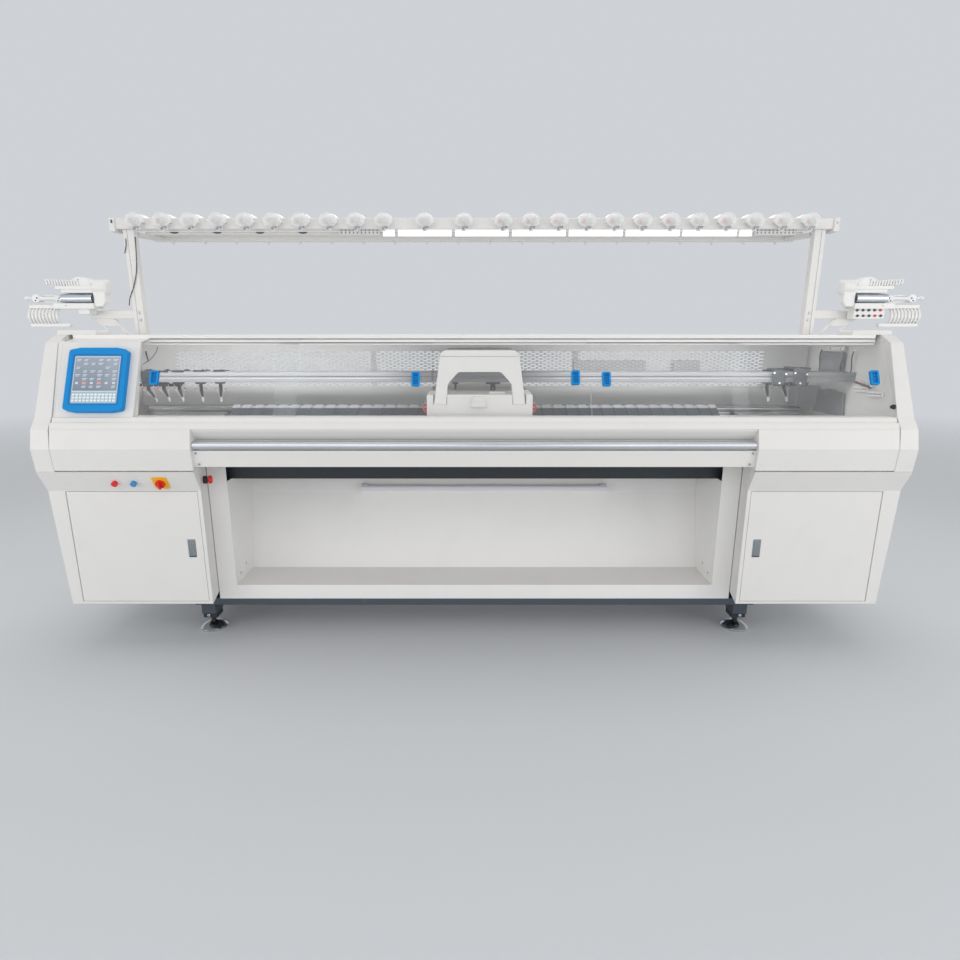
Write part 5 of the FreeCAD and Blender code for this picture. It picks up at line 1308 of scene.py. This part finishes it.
def feederRack():
    # leaning teeth on a rail that climbs outwards
    first, pitch, count = feeders["teeth"]
    level = feeders["toothLevel"]
    x = first + pitch * np.arange(count)
    z = level + (x - first) * feeders["climb"]
    tooth = frontward(((-7, -13), (1, -13), (7, 13), (-1, 13)), 586, 600, 1)
    left, right, top = first - 8, x[-1] + 6, z[-1] + 4
    rail = frontward(((left, level + 4), (right, top), (right, top + 7), (left, level + 11)), 598, 610, 1)
    return [repeated(tooth, pointsOf(x, 0, z)), rail]


def feederComb():
    # half-ring ribs that bulge to the front over a strip, and the thin web that joins them
    first, pitch, count = feeders["ribs"]
    radius, y, z = feeders["rib"]
    turn = np.linspace(-0.52 * math.pi, 0.52 * math.pi, 13)

    def bow(forward, upward):
        return pointsOf(y - (radius - forward) * np.cos(turn), z + (radius - upward) * np.sin(turn))

    rib = sideways(np.concatenate([bow(1.5, 3), bow(9, 10)[::-1]]), -5, 5)
    last = first + pitch * (count - 1) + 6
    web = sideways(np.concatenate([bow(6.5, 6.5), bow(9.5, 9.5)[::-1]]), first, last - 4)
    start, level, height = feeders["strip"]
    strip = roundedRectangle(last - start, height, 8, 5, ((last + start) / 2, level))
    ribs = repeated(rib, pointsOf(first + pitch * np.arange(count), 0, 0))
    return [ribs, frontward(strip, 590, 606, 2)], [web]


def makeFeederDials():
    columns, rows = feeders["dials"]
    dark, red = [], []
    for r in range(rows):
        for c in range(columns):
            x, z = 1846 + 28.0 * c + 5 * r, 1506 - 26 * r
            dial = [frontDisc((x, 588.0, z), 6.4, 3.4, 1, 12),
                    boxShape((x - 9, 583.2, z - 1.4), (x + 9, 585, z + 1.4))]
            (red if (r, c) in feeders["warmDials"] else dark).append(together(dial))
    addPiece("feederDials", dark, "graphite", slot="black_plastic")
    addPiece("feederWarmDials", red, "red", slot="red_plastic")


def makeFeeders():
    body = {"insteadOf": "feeder_bodies", "slot": "tensioner_plastic"}
    ribs, web = feederComb()
    addPiece("feederBodies", bothSides(feederBody()), "cap", bevel=1.2, **body)
    addPiece("feederArms", bothSides(feederArm()), "cap", bevel=0.8, **body)
    addPiece("feederRacks", bothSides(feederRack()), "cap", **body)
    addPiece("feederCombRibs", bothSides(ribs), "cap", insteadOf="feeder_combs")
    addPiece("feederCombWebs", bothSides(web), "cap", insteadOf="feeder_combs")
    z = feeders["knobLevel"]
    # the holes are thin black discs: painted shade where the arm and body are pierced
    dots, holes = [], []
    for side in (-1, 1):
        for x, _ in feeders["knobs"]:
            dots.append(frontDisc((side * (x - 7), 601.2, z + 2), 4.6, 0.9, 0.3, 12))
            holes.append(frontDisc((side * (x + 2), 601.2, z - 10), 3.6, 0.9, 0.3, 10))
        holes.append(frontDisc((side * 1893, 592.2, 1646), 2.6, 1.0, 0.3, 10))
        holes.append(frontDisc((side * 1960, 577.2, 1526), 2.2, 0.8, 0.3, 10))
    addPiece("feederKnobDots", dots, "paleBlue", slot="blue_plastic")
    addPiece("feederHoleShades", holes, "black", slot="black_plastic")
    addPiece("feederDialPanel", boxShape(*feeders["dialPanel"]), "cap", bevel=2, **body)
    makeFeederDials()
    near, far, radius = feeders["roller"]
    line = [(6, near), (radius - 1.5, near), (radius, near + 1.5), (radius, far - 1.5), (radius - 1.5, far),
            (7, far), (7, far + 3), (2, far + 3)]
    for side, name in ((-1, "left"), (1, "right")):
        drum = mirrored(turnedAlong(line, 32, (0, *feeders["rollerAxis"])), side)
        addPiece(f"{name}FeederDrum", drum, "chrome", insteadOf=f"{name}_feeder_roller")
    # end ring round the roller's shaft, on the inner cheek
    rings = [turnedAlong(feeders["ring"], 28, (side * feeders["ringAt"], *feeders["rollerAxis"]), -side)
             for side in (-1, 1)]
    addPiece("feederRollerRings", rings, "graphite", slot="tensioner_plastic")
    print("feeders made")


frontDetails = {
    "beamScrews": ((1156.0, 915.0), (1147.0, 868.0)),
    "latch": (1236.0, 504.0), "latchLip": 446.0,
    "feet": (1275.0, (278.0, 622.0)),               # how far out, and the two rows' distance from the nose
    "pad": ((63, 0), (63, 7), (55, 15), (42, 23), (26, 30), (17, 34), (4, 34)),
    "stem": ((4, 33.8), (12.5, 33.8), (12.5, 40), (11, 42), (11, 58), (22, 58), (22, 64), (4, 64)),
    "block": ((-34, -34, 62), (34, 34, 87.8)), "bolt": (1282.0, 76.0),
}


def makeLatchDetails():
    x, z = frontDetails["latch"]
    for side, name in ((-1, "left"), (1, "right")):
        node = f"{name}_door_latch"
        y = drawn(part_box(node))[0][1]
        addPiece(f"{name}LatchKey", frontDisc((side * x, y + 0.1, z), 7.5, 2.2, 0.8, 20), "screw", on=node)
        # the key's slit is a thin black bar on its face: painted shade in the slot
        slitShade = boxShape((side * x - 0.9, y - 2.4, z - 4.2), (side * x + 0.9, y - 2.0, z + 4.2))
        addPiece(f"{name}LatchSlitShade", slitShade, "black", on=node)
        lip = roundedRectangle(30, 5, 2, 3, (side * x, frontDetails["latchLip"]))
        addPiece(f"{name}LatchLip", frontward(lip, y - 1.5, y + 0.3, 0.8), "graphite", on=node)


def makeFrontDetails():
    screws = [frontDisc((side * x, 20.1, z), 5.0, 2.0, 0.9, 14)
              for side in (-1, 1) for x, z in frontDetails["beamScrews"]]
    addPiece("beamScrews", screws, "screw")
    makeLatchDetails()
    out, rows = frontDetails["feet"]
    spots = [(side * out, y, 0) for side in (-1, 1) for y in rows]
    x, z = frontDetails["bolt"]
    bolts = [frontDisc((side * x, y - reach, z), radius, length, rim, steps) for side in (-1, 1) for y in rows
             for reach, radius, length, rim, steps in ((34, 8.0, 6.0, 1.4, 6), (40, 4.0, 5.0, 1.0, 12))]
    foot = {"insteadOf": "levelling_feet"}
    addPiece("footPads", repeated(turned(frontDetails["pad"], 40), spots), "foot", **foot)
    addPiece("footStems", repeated(turned(frontDetails["stem"], 20), spots), "black", **foot)
    addPiece("footBlocks", repeated(boxShape(*frontDetails["block"]), spots), "dark", bevel=2, **foot)
    addPiece("footBolts", bolts, "foot", **foot)
    print("front details made")


for make in (makeRearWall, makeFloorTrays, makeWindows, makeTerminal, makeCarriage, makeCarriers,
             makeBehindRails, makeEndWalls, makeTensioners, makeStand, makeFeeders, makeFrontDetails):
    make()
